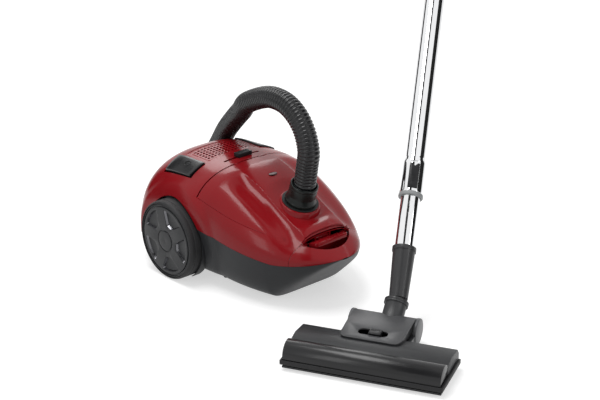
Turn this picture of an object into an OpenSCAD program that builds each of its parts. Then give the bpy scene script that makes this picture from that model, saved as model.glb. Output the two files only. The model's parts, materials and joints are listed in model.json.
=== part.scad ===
// Canister vacuum cleaner with hose, telescopic wand and turbo floor nozzle.
// Origin: on the floor midway between the rear wheels, +Z up, front towards -Y.

/* [Body] */
// overall length of the body ahead of the rear axle
nose_len = 295; // [285:1:305]
// overall length of the body behind the rear axle
rear_len = 115; // [110:1:120]
// half of the greatest body width
body_half = 127; // [125:1:130]
// height of the top above the floor
top_z = 197; // [190:1:204]
// height of the flat underside above the floor
base_z = 10; // [9:1:12]
// wall thickness of the moulded housings
wall = 2.6; // [2.2:0.1:3]
// gap left between neighbouring housings
seam_gap = 0.4; // [0.3:0.1:0.6]

/* [Wheels] */
// radius of the rear wheels
wheel_r = 70; // [66:1:72]
// width of a rear wheel
wheel_w = 34; // [30:1:36]
// distance of a rear wheel's outer face from the middle
wheel_face_x = 148; // [146:1:152]
// radius of a rear wheel pin
wheel_pin_r = 5; // [4:0.5:6]
// radius of the front caster wheel
caster_r = 14; // [12:1:16]
// width of the front caster wheel
caster_w = 16; // [12:1:18]

/* [Hose and port] */
// inner radius of the suction port
port_r = 17; // [16:0.5:18]
// outer radius of the hose
hose_r = 19; // [18:0.5:20]
// inner radius of the hose
hose_bore_r = 15.5; // [15:0.25:16.5]
// tilt of the port towards the front
port_tilt = 18; // [15:1:21]

/* [Wand] */
// outer radius of the lower wand tube
inner_tube_r = 16; // [15.5:0.1:16]
// outer radius of the upper wand tube
outer_tube_r = 17.2; // [17.2:0.1:17.8]
// length of each wand tube
tube_len = 500; // [460:10:520]
// length of lower tube that shows below the upper one
tube_out = 88; // [80:1:100]
// wall of the wand tubes
tube_wall = 0.9; // [0.8:0.1:1]
// lean of the wand from upright
wand_lean = 45; // [40:1:50]

/* [Nozzle] */
// width of the floor nozzle
nozzle_w = 262; // [250:1:270]
// depth of the floor nozzle from bumper to drum
nozzle_d = 104; // [100:1:110]
// radius of the brush roll over its bristles
brush_r = 18.4; // [16:0.1:18.4]
// radius of the tilting drum
drum_r = 20.5; // [20:0.5:21]
// width of the drum between its end discs
drum_w = 102; // [98:1:106]

/* [Hidden] */
fine = 72;
tiny = 0.01;
red = [0.58, 0.1, 0.13];
dark = [0.16, 0.16, 0.17];
grey = [0.3, 0.3, 0.31];
pale = [0.75, 0.75, 0.76];
metal = [0.7, 0.7, 0.72];

// ---------- shape of the body ----------
wide_y = -100;
seam_y = -50;
nose_y = -(nose_len - 53);
end_y = rear_len - 30;
arch_r = wheel_r + 4;
tub_r = wheel_r + 2;
wheel_in_x = wheel_face_x - wheel_w;
tub_x = wheel_in_x - 3;
port_y = -181;
port_z = roof_z(port_y, 0) - 3.104;
function mix(a, b, t) = a + (b - a) * t;
function clamp(t) = max(0, min(1, t));
function smooth(t) = clamp(t) * clamp(t) * (3 - 2 * clamp(t));
// half width of the plan outline at y, inset by k
function half_w(y, k) =
    y < wide_y ? (body_half - 5 - k) * pow(max(0, 1 - pow((wide_y - y) / (nose_len - k + wide_y), 1.9)), 1 / 1.9)
    : y < end_y ? body_half - k - 5 * (1 - smooth((y - wide_y) / 60))
    : body_half - k - 30 + sqrt(max(0, 900 - pow(y - end_y, 2)));
// height of the seam between the dark lower housing and the red upper one
function seam_z(y) =
    y < -215 ? 82 + 10 * pow((-215 - y) / (nose_len - 215), 2)
    : y < -41 ? 82 + 0.161 * (y + 215)
    : mix(110, 52, smooth((y + 41) / 125));
// height of the top line at y, inset by k
function roof_z(y, k) =
    (y < wide_y + 25 ? top_z - (top_z - 92) * pow((wide_y + 25 - y) / (nose_len - 75), 1.36)
    : y < 37 ? top_z
    : top_z - 60 + 60 * sqrt(max(0, 1 - pow((y - 37) / (rear_len - 37), 2)))) - k;
// height of the underside at y
function belly_z(y) = y < -203 ? base_z + (92 - base_z) * (-203 - y) / (nose_len - 203) : base_z;
// how deep the two valleys beside the raised middle of the lid are
function valley(x, y) =
    let(f = smooth((-70 - y) / 60) * smooth((y + 262) / 40), c = 66, h = 22, d = abs(abs(x) - c) / h)
    d < 1 ? 7 * f * pow(cos(90 * d), 2) : 0;
// low lip along the front edge of the lid
function lip(x, y) = y > nose_y - 0.1 ? 5 * smooth((-212 - y) / 24) * (1 - smooth((abs(x) - 25) / 40)) : 0;
// how boxy the upper cross-section is at y
function round_n(y) = mix(2.7, 2.4, smooth((-60 - y) / 120));
// a point of the upper surface at y and angle t, inset by k
function upper_pt(y, t, k) =
    let(w = half_w(y, k), s = seam_z(y), n = round_n(y), h = max(1, roof_z(y, k) - s), c = cos(t),
        x = w * sign(c) * pow(abs(c), 2 / n), z = s + h * pow(abs(sin(t)), 2 / n))
    [x, y, z - valley(x, y) * smooth((z - s) / 14) + lip(x, y)];
// a point of the lower surface at y and angle t, inset by k
function lower_pt(y, t, k) =
    let(w = half_w(y, k), s = seam_z(y), n = 6, h = max(1, s - belly_z(y) - k), c = cos(t),
        f = pow(abs(sin(t)), 2 / n), x = w * sign(c) * pow(abs(c), 2 / n))
    [x * (1 - 0.13 * f), y, s - h * f];
// position of a point at y on the surface inset by k
function inner_y(y, k) =
    y < wide_y ? wide_y - (wide_y - y) * (nose_len - k + wide_y) / (nose_len + wide_y)
    : wide_y + (y - wide_y) * (rear_len - k - wide_y) / (rear_len - wide_y);
// angle at which the upper surface at y reaches height z
function angle_at(y, z) =
    asin(clamp(pow(clamp((z - seam_z(y)) / max(1, roof_z(y, 0) - seam_z(y))), round_n(y) / 2)));
// height of the lid's lower edge
function edge_z(y) = mix(158, 118, clamp((seam_y - y) / (seam_y - nose_y)));
hinge_y = seam_y - 2.6;
hinge_z = top_z - 1.4;

// closed sheet between an outer and an inner grid of points
module sheet(outer, inner) {
    rows = len(outer);
    cols = len(outer[0]);
    pts = concat([for (r = outer) for (p = r) p], [for (r = inner) for (p = r) p]);
    m = rows * cols;
    function at(i, j) = i * cols + j;
    faces = concat(
        [for (i = [0:rows - 2]) for (j = [0:cols - 2]) [at(i, j), at(i, j + 1), at(i + 1, j + 1)]],
        [for (i = [0:rows - 2]) for (j = [0:cols - 2]) [at(i, j), at(i + 1, j + 1), at(i + 1, j)]],
        [for (i = [0:rows - 2]) for (j = [0:cols - 2]) [m + at(i, j), m + at(i + 1, j + 1), m + at(i, j + 1)]],
        [for (i = [0:rows - 2]) for (j = [0:cols - 2]) [m + at(i, j), m + at(i + 1, j), m + at(i + 1, j + 1)]],
        [for (j = [0:cols - 2]) [at(0, j), m + at(0, j), m + at(0, j + 1)]],
        [for (j = [0:cols - 2]) [at(0, j), m + at(0, j + 1), at(0, j + 1)]],
        [for (j = [0:cols - 2]) [at(rows - 1, j), m + at(rows - 1, j + 1), m + at(rows - 1, j)]],
        [for (j = [0:cols - 2]) [at(rows - 1, j), at(rows - 1, j + 1), m + at(rows - 1, j + 1)]],
        [for (i = [0:rows - 2]) [at(i, 0), m + at(i + 1, 0), m + at(i, 0)]],
        [for (i = [0:rows - 2]) [at(i, 0), at(i + 1, 0), m + at(i + 1, 0)]],
        [for (i = [0:rows - 2]) [at(i, cols - 1), m + at(i, cols - 1), m + at(i + 1, cols - 1)]],
        [for (i = [0:rows - 2]) [at(i, cols - 1), m + at(i + 1, cols - 1), at(i + 1, cols - 1)]]
    );
    polyhedron(points = pts, faces = faces, convexity = 8);
}

// positions along the body
function even_ys(a, b, n) = [for (i = [0:n]) mix(a, b, i / n)];
rear_ys = concat(even_ys(nose_y, end_y, 22), [for (i = [1:4]) end_y + 30 * sin(22.4 * i)]);
// rings that close the rear wall, shrinking towards its middle
rear_caps = [0.97, 0.8, 0.5, 0.2, 0.03];
function cap_pt(p, s, y, z) = [p[0] * s, y + 3 * (1 - s * s), z + (p[2] - z) * s];

// ---------- housings of the body ----------
module upper_shell(n) {
    ts = [for (j = [0:n]) 180 * j / n];
    z = seam_z(end_y + 30) + seam_gap;
    outer = concat(
        [for (y = rear_ys) [for (t = ts) upper_pt(y, t, 0) + [0, 0, seam_gap]]],
        [for (s = rear_caps) [for (t = ts) cap_pt(upper_pt(rear_len - 0.1, t, 0) + [0, 0, seam_gap], s, rear_len, z)]]);
    inner = concat(
        [for (y = rear_ys) [for (t = ts) let(p = upper_pt(inner_y(y, wall), t, wall)) [p[0], p[1], p[2] + seam_gap]]],
        [for (s = rear_caps) [for (t = ts)
            cap_pt(upper_pt(rear_len - wall - 0.1, t, wall) + [0, 0, seam_gap], s, rear_len - wall, z)]]);
    sheet(outer, inner);
}
// side view region above the lid's edge, ahead of the rear seam
module lid_region(g) {
    rotate([90, 0, 90])
        linear_extrude(height = 400, center = true)
            polygon([[seam_y + g, 300], [seam_y + g, edge_z(seam_y) - g], [nose_y, edge_z(nose_y) - g],
                [nose_y - 20, edge_z(nose_y) - g], [nose_y - 20, 300]]);
}
module wheel_cut(r, x) {
    for (s = [-1, 1])
        translate([s * x, 0, wheel_r])
            rotate([0, s * 90, 0])
                cylinder(h = 60, r = r, $fn = fine);
}
module pedal_zone(g) {
    for (s = [-1, 1])
        translate([s * 79, 28, top_z - 60])
            linear_extrude(height = 80)
                polygon([[-18 * s - g * s, -36 - g], [19 * s + g * s, -41 - g], [17 * s + g * s, 37 + g],
                    [-18 * s - g * s, 36 + g]]);
}
// solid between height z and the outer surface
module under_skin(y0, y1, z) {
    ys = even_ys(y0, y1, 14);
    function ts(y) = let(a = angle_at(y, z) + 3) [for (j = [0:28]) a + (180 - 2 * a) * j / 28];
    sheet([for (y = ys) [for (t = ts(y)) upper_pt(y, t, 0.6) + [0, 0, seam_gap]]],
        [for (y = ys) [for (t = ts(y)) let(p = upper_pt(y, t, 0.6)) [p[0], y, z]]]);
}
module slider_slot() {
    translate([0, -31, top_z - 12])
        linear_extrude(height = 20)
            hull() {
                translate([-37, 0]) circle(d = 5, $fn = 24);
                translate([37, 0]) circle(d = 5, $fn = 24);
            }
}
module upper_housing() {
    color(red) {
        difference() {
            upper_shell(28);
            lid_region(0);
            wheel_cut(arch_r, tub_x - 8);
            pedal_zone(0);
            slider_slot();
            translate([0, 23, top_z])
                cube([106, 60, 40], center = true);
            translate([0, rear_len - 10, 84])
                rotate([-90, 0, 0])
                    cylinder(h = 20, r = 8, $fn = 32);
        }
        // ledge that carries the exhaust grille
        translate([0, 23, top_z - 14])
            difference() {
                cube([120, 66, 3], center = true);
                cube([98, 52, 4], center = true);
            }
        // pockets under the pedals, with the pedals' bearings
        difference() {
            intersection() {
                union() {
                    difference() {
                        pedal_zone(2.2);
                        pedal_zone(0);
                    }
                    for (s = [-1, 1])
                        translate([s * 79.5, 28, top_z - 52])
                            cube([43, 86, 2], center = true);
                }
                pedal_zone(2.2);
                under_skin(-17, 72, top_z - 53);
            }
            for (s = [-1, 1]) {
                translate([s * 82, 27, top_z - 52])
                    cylinder(h = 5, r = 3.6, center = true, $fn = 24);
                translate([s * 65, 28, 176])
                    rotate([90, 0, 0])
                        cylinder(h = 90, r = 2.45, center = true, $fn = 24);
            }
        }
        // ears that carry the brake lever
        for (x = [77.5, 86.5])
            difference() {
                translate([x, 50, top_z - 60])
                    cube([2, 9, 16], center = true);
                along_x(x, 50, 134)
                    cylinder(h = 5, r = 2.05, center = true, $fn = 24);
            }
        // columns that take the housing screws
        for (s = [-1, 1]) {
            translate([s * 84, 88, 52.6])
                difference() {
                    union() {
                        cylinder(h = 100, r = 5, $fn = 32);
                        intersection() {
                            cylinder(h = 140, r = 5, $fn = 32);
                            translate([-s * 84, -88, -52.6])
                                under_skin(80, 96, 144);
                        }
                    }
                    translate([0, 0, -1])
                        cylinder(h = 21, r = 1.8, $fn = 24);
                }
            translate([s * 84, -88, 52.6])
                difference() {
                    union() {
                        cylinder(h = 71, r = 5, $fn = 32);
                        translate([s * 18, 0, 64])
                            cube([36, 4, 14], center = true);
                    }
                    translate([0, 0, -1])
                        cylinder(h = 21, r = 1.8, $fn = 24);
                }
            // posts of the control board
            translate([s * 43, -22, 178]) {
                translate([0, 0, 3.1])
                    cylinder(h = 13.4, r = 3, $fn = 24);
                cylinder(h = 8, r = 1.6, $fn = 24);
            }
        }
        // fixed hinge knuckles of the lid
        for (s = [-1, 1])
            along_x(s * 24, hinge_y, hinge_z)
                difference() {
                    union() {
                        cylinder(h = 8, r = 2.2, center = true, $fn = 32);
                        translate([0, 2.6, 0])
                            cube([2.4, 5, 8], center = true);
                    }
                    cylinder(h = 20, r = 1.05, center = true, $fn = 32);
                }
    }
}

module lower_shell(n) {
    ts = [for (j = [0:n]) 180 + 180 * j / n];
    fys = [for (i = [0:9]) -(nose_len - 0.5) + (nose_len - 0.5 + nose_y) * (1 - cos(90 * i / 9))];
    ys = concat(fys, [for (i = [1:len(rear_ys) - 1]) rear_ys[i]]);
    z = seam_z(rear_len);
    outer = concat(
        [for (y = ys) [for (t = ts) lower_pt(y, t, 0)]],
        [for (s = rear_caps) [for (t = ts) cap_pt(lower_pt(rear_len - 0.1, t, 0), s, rear_len, z)]]);
    inner = concat(
        [for (y = ys) [for (t = ts) lower_pt(inner_y(y, wall), t, wall)]],
        [for (s = rear_caps) [for (t = ts) cap_pt(lower_pt(rear_len - wall - 0.1, t, wall), s, rear_len - wall, z)]]);
    sheet(outer, inner);
}
// keeps the wheel tubs inside the red shoulders
module under_shoulder() {
    b = body_half;
    rotate([90, 0, 0])
        linear_extrude(height = 200, center = true)
            polygon([[-b + 3, 0], [-b + 3, 100], [-b + 10, 126], [-b + 22, wheel_r * 2 + 4],
                [b - 22, wheel_r * 2 + 4], [b - 10, 126], [b - 3, 100], [b - 3, 0]]);
}
module lower_housing() {
    color(dark) {
        difference() {
            lower_shell(24);
            wheel_cut(tub_r, tub_x);
            for (x = [-84, 84], y = [-88, 88])
                translate([x, y, 0])
                    cylinder(h = 40, r = 4, $fn = 32);
            // well of the caster
            translate([0, caster_y, 0])
                cylinder(h = 30, r = 29, $fn = fine);
            translate([0, rear_len - 10, 84])
                rotate([-90, 0, 0])
                    cylinder(h = 20, r = 8, $fn = 32);
        }
        // tubs behind the rear wheels with the bosses for their pins
        for (s = [-1, 1])
            difference() {
                union() {
                    along_x(s * (tub_x - 1.2), 0, wheel_r)
                        cylinder(h = 2.4, r = tub_r + 1.5, center = true, $fn = fine);
                    along_x(s * (tub_x - 7), 0, wheel_r)
                        cylinder(h = 14, r = 12, center = true, $fn = 48);
                    intersection() {
                        along_x(s * (tub_x + 7), 0, wheel_r)
                            difference() {
                                cylinder(h = 18, r = tub_r + 1.5, center = true, $fn = fine);
                                cylinder(h = 20, r = tub_r, center = true, $fn = fine);
                            }
                        under_shoulder();
                    }
                }
                translate([0, 0, base_z - 50])
                    cube([400, 400, 100], center = true);
                along_x(s * tub_x, 0, wheel_r)
                    cylinder(h = 40, r = wheel_pin_r, center = true, $fn = 48);
            }
        // roofed well and swivel bore of the caster
        translate([0, caster_y, base_z])
            difference() {
                union() {
                    cylinder(h = well_z - base_z + wall, r = 29 + wall, $fn = fine);
                    cylinder(h = 46, r = 10, $fn = 48);
                }
                translate([0, 0, -1])
                    cylinder(h = well_z - base_z + 1, r = 29, $fn = fine);
                cylinder(h = 44, r = 6.05, $fn = 48);
            }
        // cradle walls of the motor and the partition groove
        for (p = [[-24, 54.3], [62, 45.3]])
            difference() {
                translate([motor_x, p[0], base_z + 27])
                    cube([80, 4, 52], center = true);
                translate([motor_x, p[0], motor_z])
                    rotate([90, 0, 0])
                        cylinder(h = 10, r = p[1], center = true, $fn = fine);
            }
        // catch of the lid latch
        translate([-14, nose_y + 11, 0])
            difference() {
                translate([0, 0, belly_z(nose_y + 11) + 0.6])
                    cube([28, 3, 99.4 - belly_z(nose_y + 11)]);
                translate([4.4, -1, 91])
                    cube([19.2, 5, 5]);
            }
        // deep wells of the housing screws
        for (x = [-84, 84], y = [-88, 88])
            translate([x, y, base_z + 3.4])
                difference() {
                    cylinder(h = 38.8, r = 5.6, $fn = 32);
                    translate([0, 0, -1])
                        cylinder(h = 34, r = 4, $fn = 32);
                    cylinder(h = 60, r = 2, $fn = 24);
                }
    }
}
module nose_handle() {
    ts = [for (j = [0:28]) 180 * j / 28];
    ys = [for (i = [0:14]) -(nose_len - 0.5) + (nose_len - 0.5 + nose_y - seam_gap) * (1 - cos(90 * i / 14))];
    w = wall + 1.4;
    color(red) {
        difference() {
            sheet([for (y = ys) [for (t = ts) upper_pt(y, t, 0) + [0, 0, seam_gap]]],
                [for (y = ys) [for (t = ts) let(p = upper_pt(inner_y(y, w), t, w)) [p[0], p[1], p[2] + seam_gap]]]);
            handle_opening(0);
            translate([0, nose_y - seam_gap + 50, 100])
                cube([300, 100, 300], center = true);
        }
        // rim wall that lines the grip opening
        intersection() {
            difference() {
                handle_opening(2.6);
                handle_opening(0);
                translate([0, nose_y + 48.8, 0])
                    cube([300, 100, 400], center = true);
            }
            rotate([90, 0, 90])
                linear_extrude(height = 200, center = true)
                    polygon([[nose_y, 84], [nose_y, 116], [nose_y - 36, 101.5], [nose_y - 36, 88]]);
        }
    }
}
// plan of the opening in front of the lid, grown by g
module handle_opening(g) {
    intersection() {
        translate([0, nose_y + 27.4, 60])
            cylinder(h = 100, r = 60.4 + g, $fn = fine);
        translate([0, nose_y - 50 - 1, 100])
            cube([200, 100, 120], center = true);
    }
}

// ---------- lid with port, seal, indicator and latch ----------
module lid_shell() {
    n = 30;
    ys = even_ys(nose_y + seam_gap, hinge_y, 26);
    function ts(y) = let(a = max(0, angle_at(y, edge_z(y)) - 8)) [for (j = [0:n]) a + (180 - 2 * a) * j / n];
    intersection() {
        sheet([for (y = ys) [for (t = ts(y)) upper_pt(y, t, 0) + [0, 0, seam_gap]]],
            [for (y = ys) [for (t = ts(y)) upper_pt(y, t, wall) + [0, 0, seam_gap]]]);
        lid_region(-0.5);
    }
}
module at_port() {
    translate([0, port_y, port_z])
        rotate([port_tilt, 0, 0])
            children();
}
module lid() {
    color(red) {
        difference() {
            lid_shell();
            at_port()
                translate([0, 0, -30])
                    cylinder(h = 60, r = 30, $fn = fine);
            // seat of the collar's rim
            at_port()
                translate([0, 0, 4])
                    cylinder(h = 20, r = 31.8, $fn = fine);
            indicator_hole(0, 30);
            for (s = [-1, 1])
                translate([s * 24, hinge_y, hinge_z])
                    cube([8.6, 5.2, 12], center = true);
        }
        // raised collar ring that carries the port
        at_port()
            translate([0, 0, -14])
                difference() {
                    cylinder(h = 18, r1 = 38, r2 = 33, $fn = fine);
                    translate([0, 0, -1])
                        cylinder(h = 20, r = 30, $fn = fine);
                }
        // hinge knuckles with the pin moulded through them
        for (s = [-1, 1]) {
            for (x = [17.2, 30.8])
                along_x(s * x, hinge_y, hinge_z)
                    cylinder(h = 5, r = 2.2, center = true, $fn = 32);
            along_x(s * 24, hinge_y, hinge_z)
                cylinder(h = 10, r = 1, center = true, $fn = 32);
        }
        // web that carries the latch pivots
        for (s = [-1, 1])
            translate([s * 16, nose_y + 9, 112])
                difference() {
                    rotate([90, 0, 90])
                        linear_extrude(height = 4, center = true)
                            polygon([[-5, -5], [11, -5], [11, 24.4], [-5, 18.8]]);
                    rotate([0, 90, 0])
                        cylinder(h = 10, r = 2.05, center = true, $fn = 32);
                }
    }
}
module indicator_hole(g, h) {
    translate([0, -113, 187 - h / 2])
        linear_extrude(height = h)
            resize([17 - 2 * g, 9 - 2 * g])
                circle(d = 10, $fn = 32);
}
module indicator_window() {
    color(dark)
        translate([0, 0, -1])
            difference() {
                indicator_hole(0, 6);
                translate([0, 0, -2])
                    indicator_hole(1.4, 4);
            }
    // guide of the flag's stem on two legs
    color(dark)
        translate([0, -113, 168.5]) {
            difference() {
                cube([16.6, 5, 5], center = true);
                cylinder(h = 10, r = 1.45, center = true, $fn = 24);
            }
            for (x = [-7.2, 7.2])
                translate([x, 0, 8.5])
                    cube([1.6, 4, 13], center = true);
        }
}
module indicator_flag() {
    color([0.8, 0.2, 0.15])
        translate([0, -113, 177])
            union() {
                translate([0, 0, -3])
                    cube([7, 4, 5], center = true);
                translate([0, 0, -9])
                    cylinder(h = 12, r = 1.4, center = true, $fn = 24);
            }
}
module lid_seal() {
    color(dark)
        at_port()
            translate([0, 0, -21.2])
                difference() {
                    cylinder(h = 3, r = 27, $fn = 48);
                    translate([0, 0, -1])
                        cylinder(h = 6, r = 20.4, $fn = 48);
                }
}
module port_collar() {
    color(dark)
        at_port()
            difference() {
                union() {
                    translate([0, 0, -18])
                        cylinder(h = 22, r = 29.85, $fn = fine);
                    translate([0, 0, 4])
                        cylinder(h = 2, r = 31.5, $fn = fine);
                }
                translate([0, 0, -14])
                    cylinder(h = 40, r = 24.3, $fn = fine);
                translate([0, 0, -30])
                    cylinder(h = 40, r = port_r + 3.3, $fn = fine);
            }
}
module lid_latch() {
    color(red) {
        // press tab seen in the grip opening
        intersection() {
            translate([0, nose_y - 11, 112])
                rotate([-16, 0, 0])
                    difference() {
                        cube([72, 19, 7], center = true);
                        // underside hollowed out for the fingertips
                        translate([0, -0.5, -2.6])
                            cube([66, 12, 6], center = true);
                    }
            translate([0, nose_y + 27.4, 60])
                cylinder(h = 100, r = 57.4, $fn = fine);
        }
        translate([0, nose_y + 6, 111])
            cube([24, 16, 4], center = true);
        translate([0, nose_y + 9, 112])
            rotate([0, 90, 0])
                union() {
                    cylinder(h = 35.5, r = 2, center = true, $fn = 32);
                    cylinder(h = 27, r = 4, center = true, $fn = 32);
                }
        // hook that reaches back towards its catch
        translate([0, nose_y + 6, 101])
            cube([18, 3, 18], center = true);
        translate([0, nose_y + 7.6, 93.5])
            cube([18, 6, 3], center = true);
    }
}

// ---------- inside the body ----------
bulkhead_y = -44;
module bulkhead() {
    y = bulkhead_y;
    color(dark) {
        difference() {
            intersection() {
                translate([0, y, 100])
                    cube([300, 3, 300], center = true);
                inner_block();
            }
            translate([-40, y, 90])
                for (x = [-24:8:24], z = [-24:8:24])
                    translate([x, 0, z])
                        cube([5, 10, 5], center = true);
        }
        translate([-40, y - 5.4, 90])
            difference() {
                cube([76, 8, 76], center = true);
                cube([70, 12, 70], center = true);
            }
        // collar round the fan's inlet
        translate([motor_x, y + 1.4, motor_z])
            rotate([-90, 0, 0])
                difference() {
                    cylinder(h = 12.3, r = 34, $fn = 48);
                    translate([0, 0, -1])
                        cylinder(h = 20, r = 31, $fn = 48);
                }
    }
}
// filled outline of the partition
module inner_block() {
    ts = [for (j = [0:24]) 180 + 180 * j / 24];
    intersection() {
        translate([0, bulkhead_y, 0])
            rotate([90, 0, 0])
                linear_extrude(height = 30, center = true)
                    polygon(concat([for (t = ts) let(p = lower_pt(bulkhead_y, t, wall + 0.8)) [p[0], p[2]]],
                        [[body_half, top_z], [-body_half, top_z]]));
        inner_hull();
    }
}
module inner_hull() {
    hull()
        for (x = [-1, 1]) {
            translate([x * 94, bulkhead_y, 27])
                rotate([90, 0, 0])
                    cylinder(h = 20, r = 14, center = true, $fn = 32);
            translate([x * 66, bulkhead_y, top_z - 36])
                rotate([90, 0, 0])
                    cylinder(h = 20, r = 26, center = true, $fn = 32);
        }
}
module motor_filter() {
    color([0.2, 0.2, 0.22])
        translate([-40, bulkhead_y - 5.4, 90])
            cube([69, 7, 69], center = true);
}
motor_x = -44;
motor_z = 88;
module motor_casing() {
    color(pale)
        translate([motor_x, 0, motor_z])
            rotate([90, 0, 0]) {
                // fan end
                difference() {
                    translate([0, 0, 4])
                        cylinder(h = 26, r = 54, $fn = fine);
                    translate([0, 0, 6])
                        cylinder(h = 22, r = 51.5, $fn = fine);
                    translate([0, 0, 20])
                        cylinder(h = 20, r = 20, $fn = 48);
                    cylinder(h = 20, r = 5.4, $fn = 32);
                }
                // winding end
                difference() {
                    translate([0, 0, -66])
                        cylinder(h = 70, r = 42, $fn = fine);
                    translate([0, 0, -63])
                        cylinder(h = 68, r = 39, $fn = fine);
                    translate([0, 0, -70])
                        cylinder(h = 90, r = 5.4, $fn = 32);
                    for (a = [0:45:315])
                        rotate([0, 0, a])
                            translate([41, 0, -34])
                                cube([10, 12, 34], center = true);
                }
                for (a = [90, 270])
                    rotate([0, 0, a])
                        translate([34, 0, -32])
                            cube([11, 40, 44], center = true);
                // rubber mount ring
                difference() {
                    translate([0, 0, -64])
                        cylinder(h = 5, r = 45, $fn = fine);
                    translate([0, 0, -66])
                        cylinder(h = 10, r = 41.9, $fn = fine);
                }
            }
}
module motor_rotor() {
    color(metal)
        translate([motor_x, 0, motor_z])
            rotate([90, 0, 0]) {
                translate([0, 0, -68])
                    cylinder(h = 84, r = 4, $fn = 32);
                translate([0, 0, -52])
                    cylinder(h = 40, r = 24, $fn = 48);
                translate([0, 0, -61])
                    cylinder(h = 8, r = 13, $fn = 48);
                for (z = [-67.5, 0.5])
                    translate([0, 0, z])
                        cylinder(h = 5, r = 5.35, $fn = 32);
            }
}
module fan_impeller() {
    color(metal)
        translate([motor_x, 0, motor_z])
            rotate([90, 0, 0]) {
                difference() {
                    translate([0, 0, 8.5])
                        cylinder(h = 1.5, r = 48, $fn = fine);
                    cylinder(h = 20, r = 4, $fn = 32);
                }
                difference() {
                    translate([0, 0, 18.5])
                        cylinder(h = 1.5, r = 48, $fn = fine);
                    cylinder(h = 30, r = 19, $fn = 48);
                }
                difference() {
                    translate([0, 0, 8.5])
                        cylinder(h = 8, r = 9, $fn = 32);
                    cylinder(h = 20, r = 4, $fn = 32);
                }
                for (a = [0:45:315])
                    rotate([0, 0, a])
                        translate([16, -8, 9.5])
                            rotate([0, 0, 20])
                                cube([31, 1.5, 9.5]);
            }
}
module exhaust_grille() {
    n = 12;
    ts = [for (j = [0:n]) 90 + (j - n / 2) * 64 / n];
    ys = even_ys(-6.6, 52.6, 8);
    color(red)
        difference() {
            intersection() {
                sheet([for (y = ys) [for (t = ts) upper_pt(y, t, 0)]], [for (y = ys) [for (t = ts) upper_pt(y, t, 2.4)]]);
                translate([0, 23, top_z])
                    cube([105.2, 59.2, 60], center = true);
            }
            translate([0, 0, top_z - 20])
                linear_extrude(height = 40)
                    for (x = [-45:7.5:45], y = [3:7.5:45])
                        translate([x, y])
                            square(4.4, center = true);
        }
    color(red)
        for (x = [-50.5, 50.5])
            translate([x, 23, top_z - 8.4])
                cube([3, 50, 7.4], center = true);
}
module exhaust_filter() {
    color([0.85, 0.85, 0.8])
        translate([0, 23, top_z - 20.6])
            cube([100, 54, 10], center = true);
}
reel_x = 56;
reel_y = 24;
reel_z = 84;
reel_r = 58;
module reel_frame() {
    color(dark)
        translate([reel_x, reel_y, reel_z])
            rotate([0, 90, 0]) {
                difference() {
                    translate([0, 0, 21])
                        cylinder(h = 2.5, r = 30, $fn = 48);
                    cylinder(h = 40, r = 3, $fn = 32);
                }
                translate([0, 0, -25])
                    cylinder(h = 48.5, r = 4, $fn = 32);
                translate([0, 0, -25])
                    cylinder(h = 2, r = 20, $fn = 48);
                translate([0, -4, 21])
                    cube([reel_z - 14.9, 8, 2.5]);
            }
}
module cable_reel() {
    color(grey)
        translate([reel_x, reel_y, reel_z])
            rotate([0, 90, 0])
                difference() {
                    union() {
                        translate([0, 0, -21])
                            cylinder(h = 2, r = reel_r, $fn = fine);
                        translate([0, 0, -19])
                            cylinder(h = 36, r = 26, $fn = fine);
                        translate([0, 0, 17])
                            cylinder(h = 2, r = reel_r, $fn = fine);
                    }
                    translate([0, 0, -30])
                        cylinder(h = 60, r = 4.05, $fn = 32);
                    for (a = [0:60:300])
                        rotate([0, 0, a])
                            translate([44, 0, -24])
                                cylinder(h = 46, r = 8, $fn = 32);
                }
}
module reel_brake() {
    color(dark) {
        along_x(82, 50, 134)
            cylinder(h = 11.6, r = 2, center = true, $fn = 24);
        // lever from the rewind pedal's ram to the pad over the reel's rim
        along_x(82, 0, 0)
            linear_extrude(height = 5, center = true)
                polygon([[-141, 23], [-141, 31], [-138, 50], [-126, 70], [-120, 70], [-130, 48], [-135, 31], [-135, 23]]);
        translate([82, 27, 139])
            cylinder(h = 14.4, r = 2.4, $fn = 24);
        translate([70, 68, 122])
            cube([14, 5, 4.6]);
    }
}
module cable_outlet() {
    color(dark)
        translate([0, rear_len, 84])
            rotate([-90, 0, 0])
                difference() {
                    union() {
                        translate([0, 0, -5])
                            cylinder(h = 10, r = 7.7, $fn = 48);
                        translate([0, 0, 3.4])
                            cylinder(h = 2.4, r = 11, $fn = 48);
                    }
                    translate([0, 0, -10])
                        cylinder(h = 30, r = 4, $fn = 32);
                }
}
module control_board() {
    color([0.1, 0.35, 0.2])
        translate([0, -22, top_z - 17])
            difference() {
                cube([96, 22, 1.6], center = true);
                for (x = [-43, 43])
                    translate([x, 0, 0])
                        cylinder(h = 5, r = 1.7, center = true, $fn = 24);
            }
    color(pale)
        translate([0, -31, top_z - 13.2])
            difference() {
                cube([88, 9, 6], center = true);
                translate([0, 0, 1.5])
                    cube([84, 3.4, 6], center = true);
            }
    color(dark)
        for (x = [-28, 28])
            translate([x, -17, top_z - 16.2])
                cube([9, 9, 12], center = true);
}
module slider_knob() {
    color(dark)
        translate([3, -31, top_z]) {
            difference() {
                translate([0, 0, 4.2])
                    cube([30, 13, 7], center = true);
                for (x = [-9:3:9])
                    translate([x, 0, 8])
                        cube([1, 14, 1.6], center = true);
            }
            translate([0, 0, -5])
                cube([12, 2.6, 16], center = true);
        }
}
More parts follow.
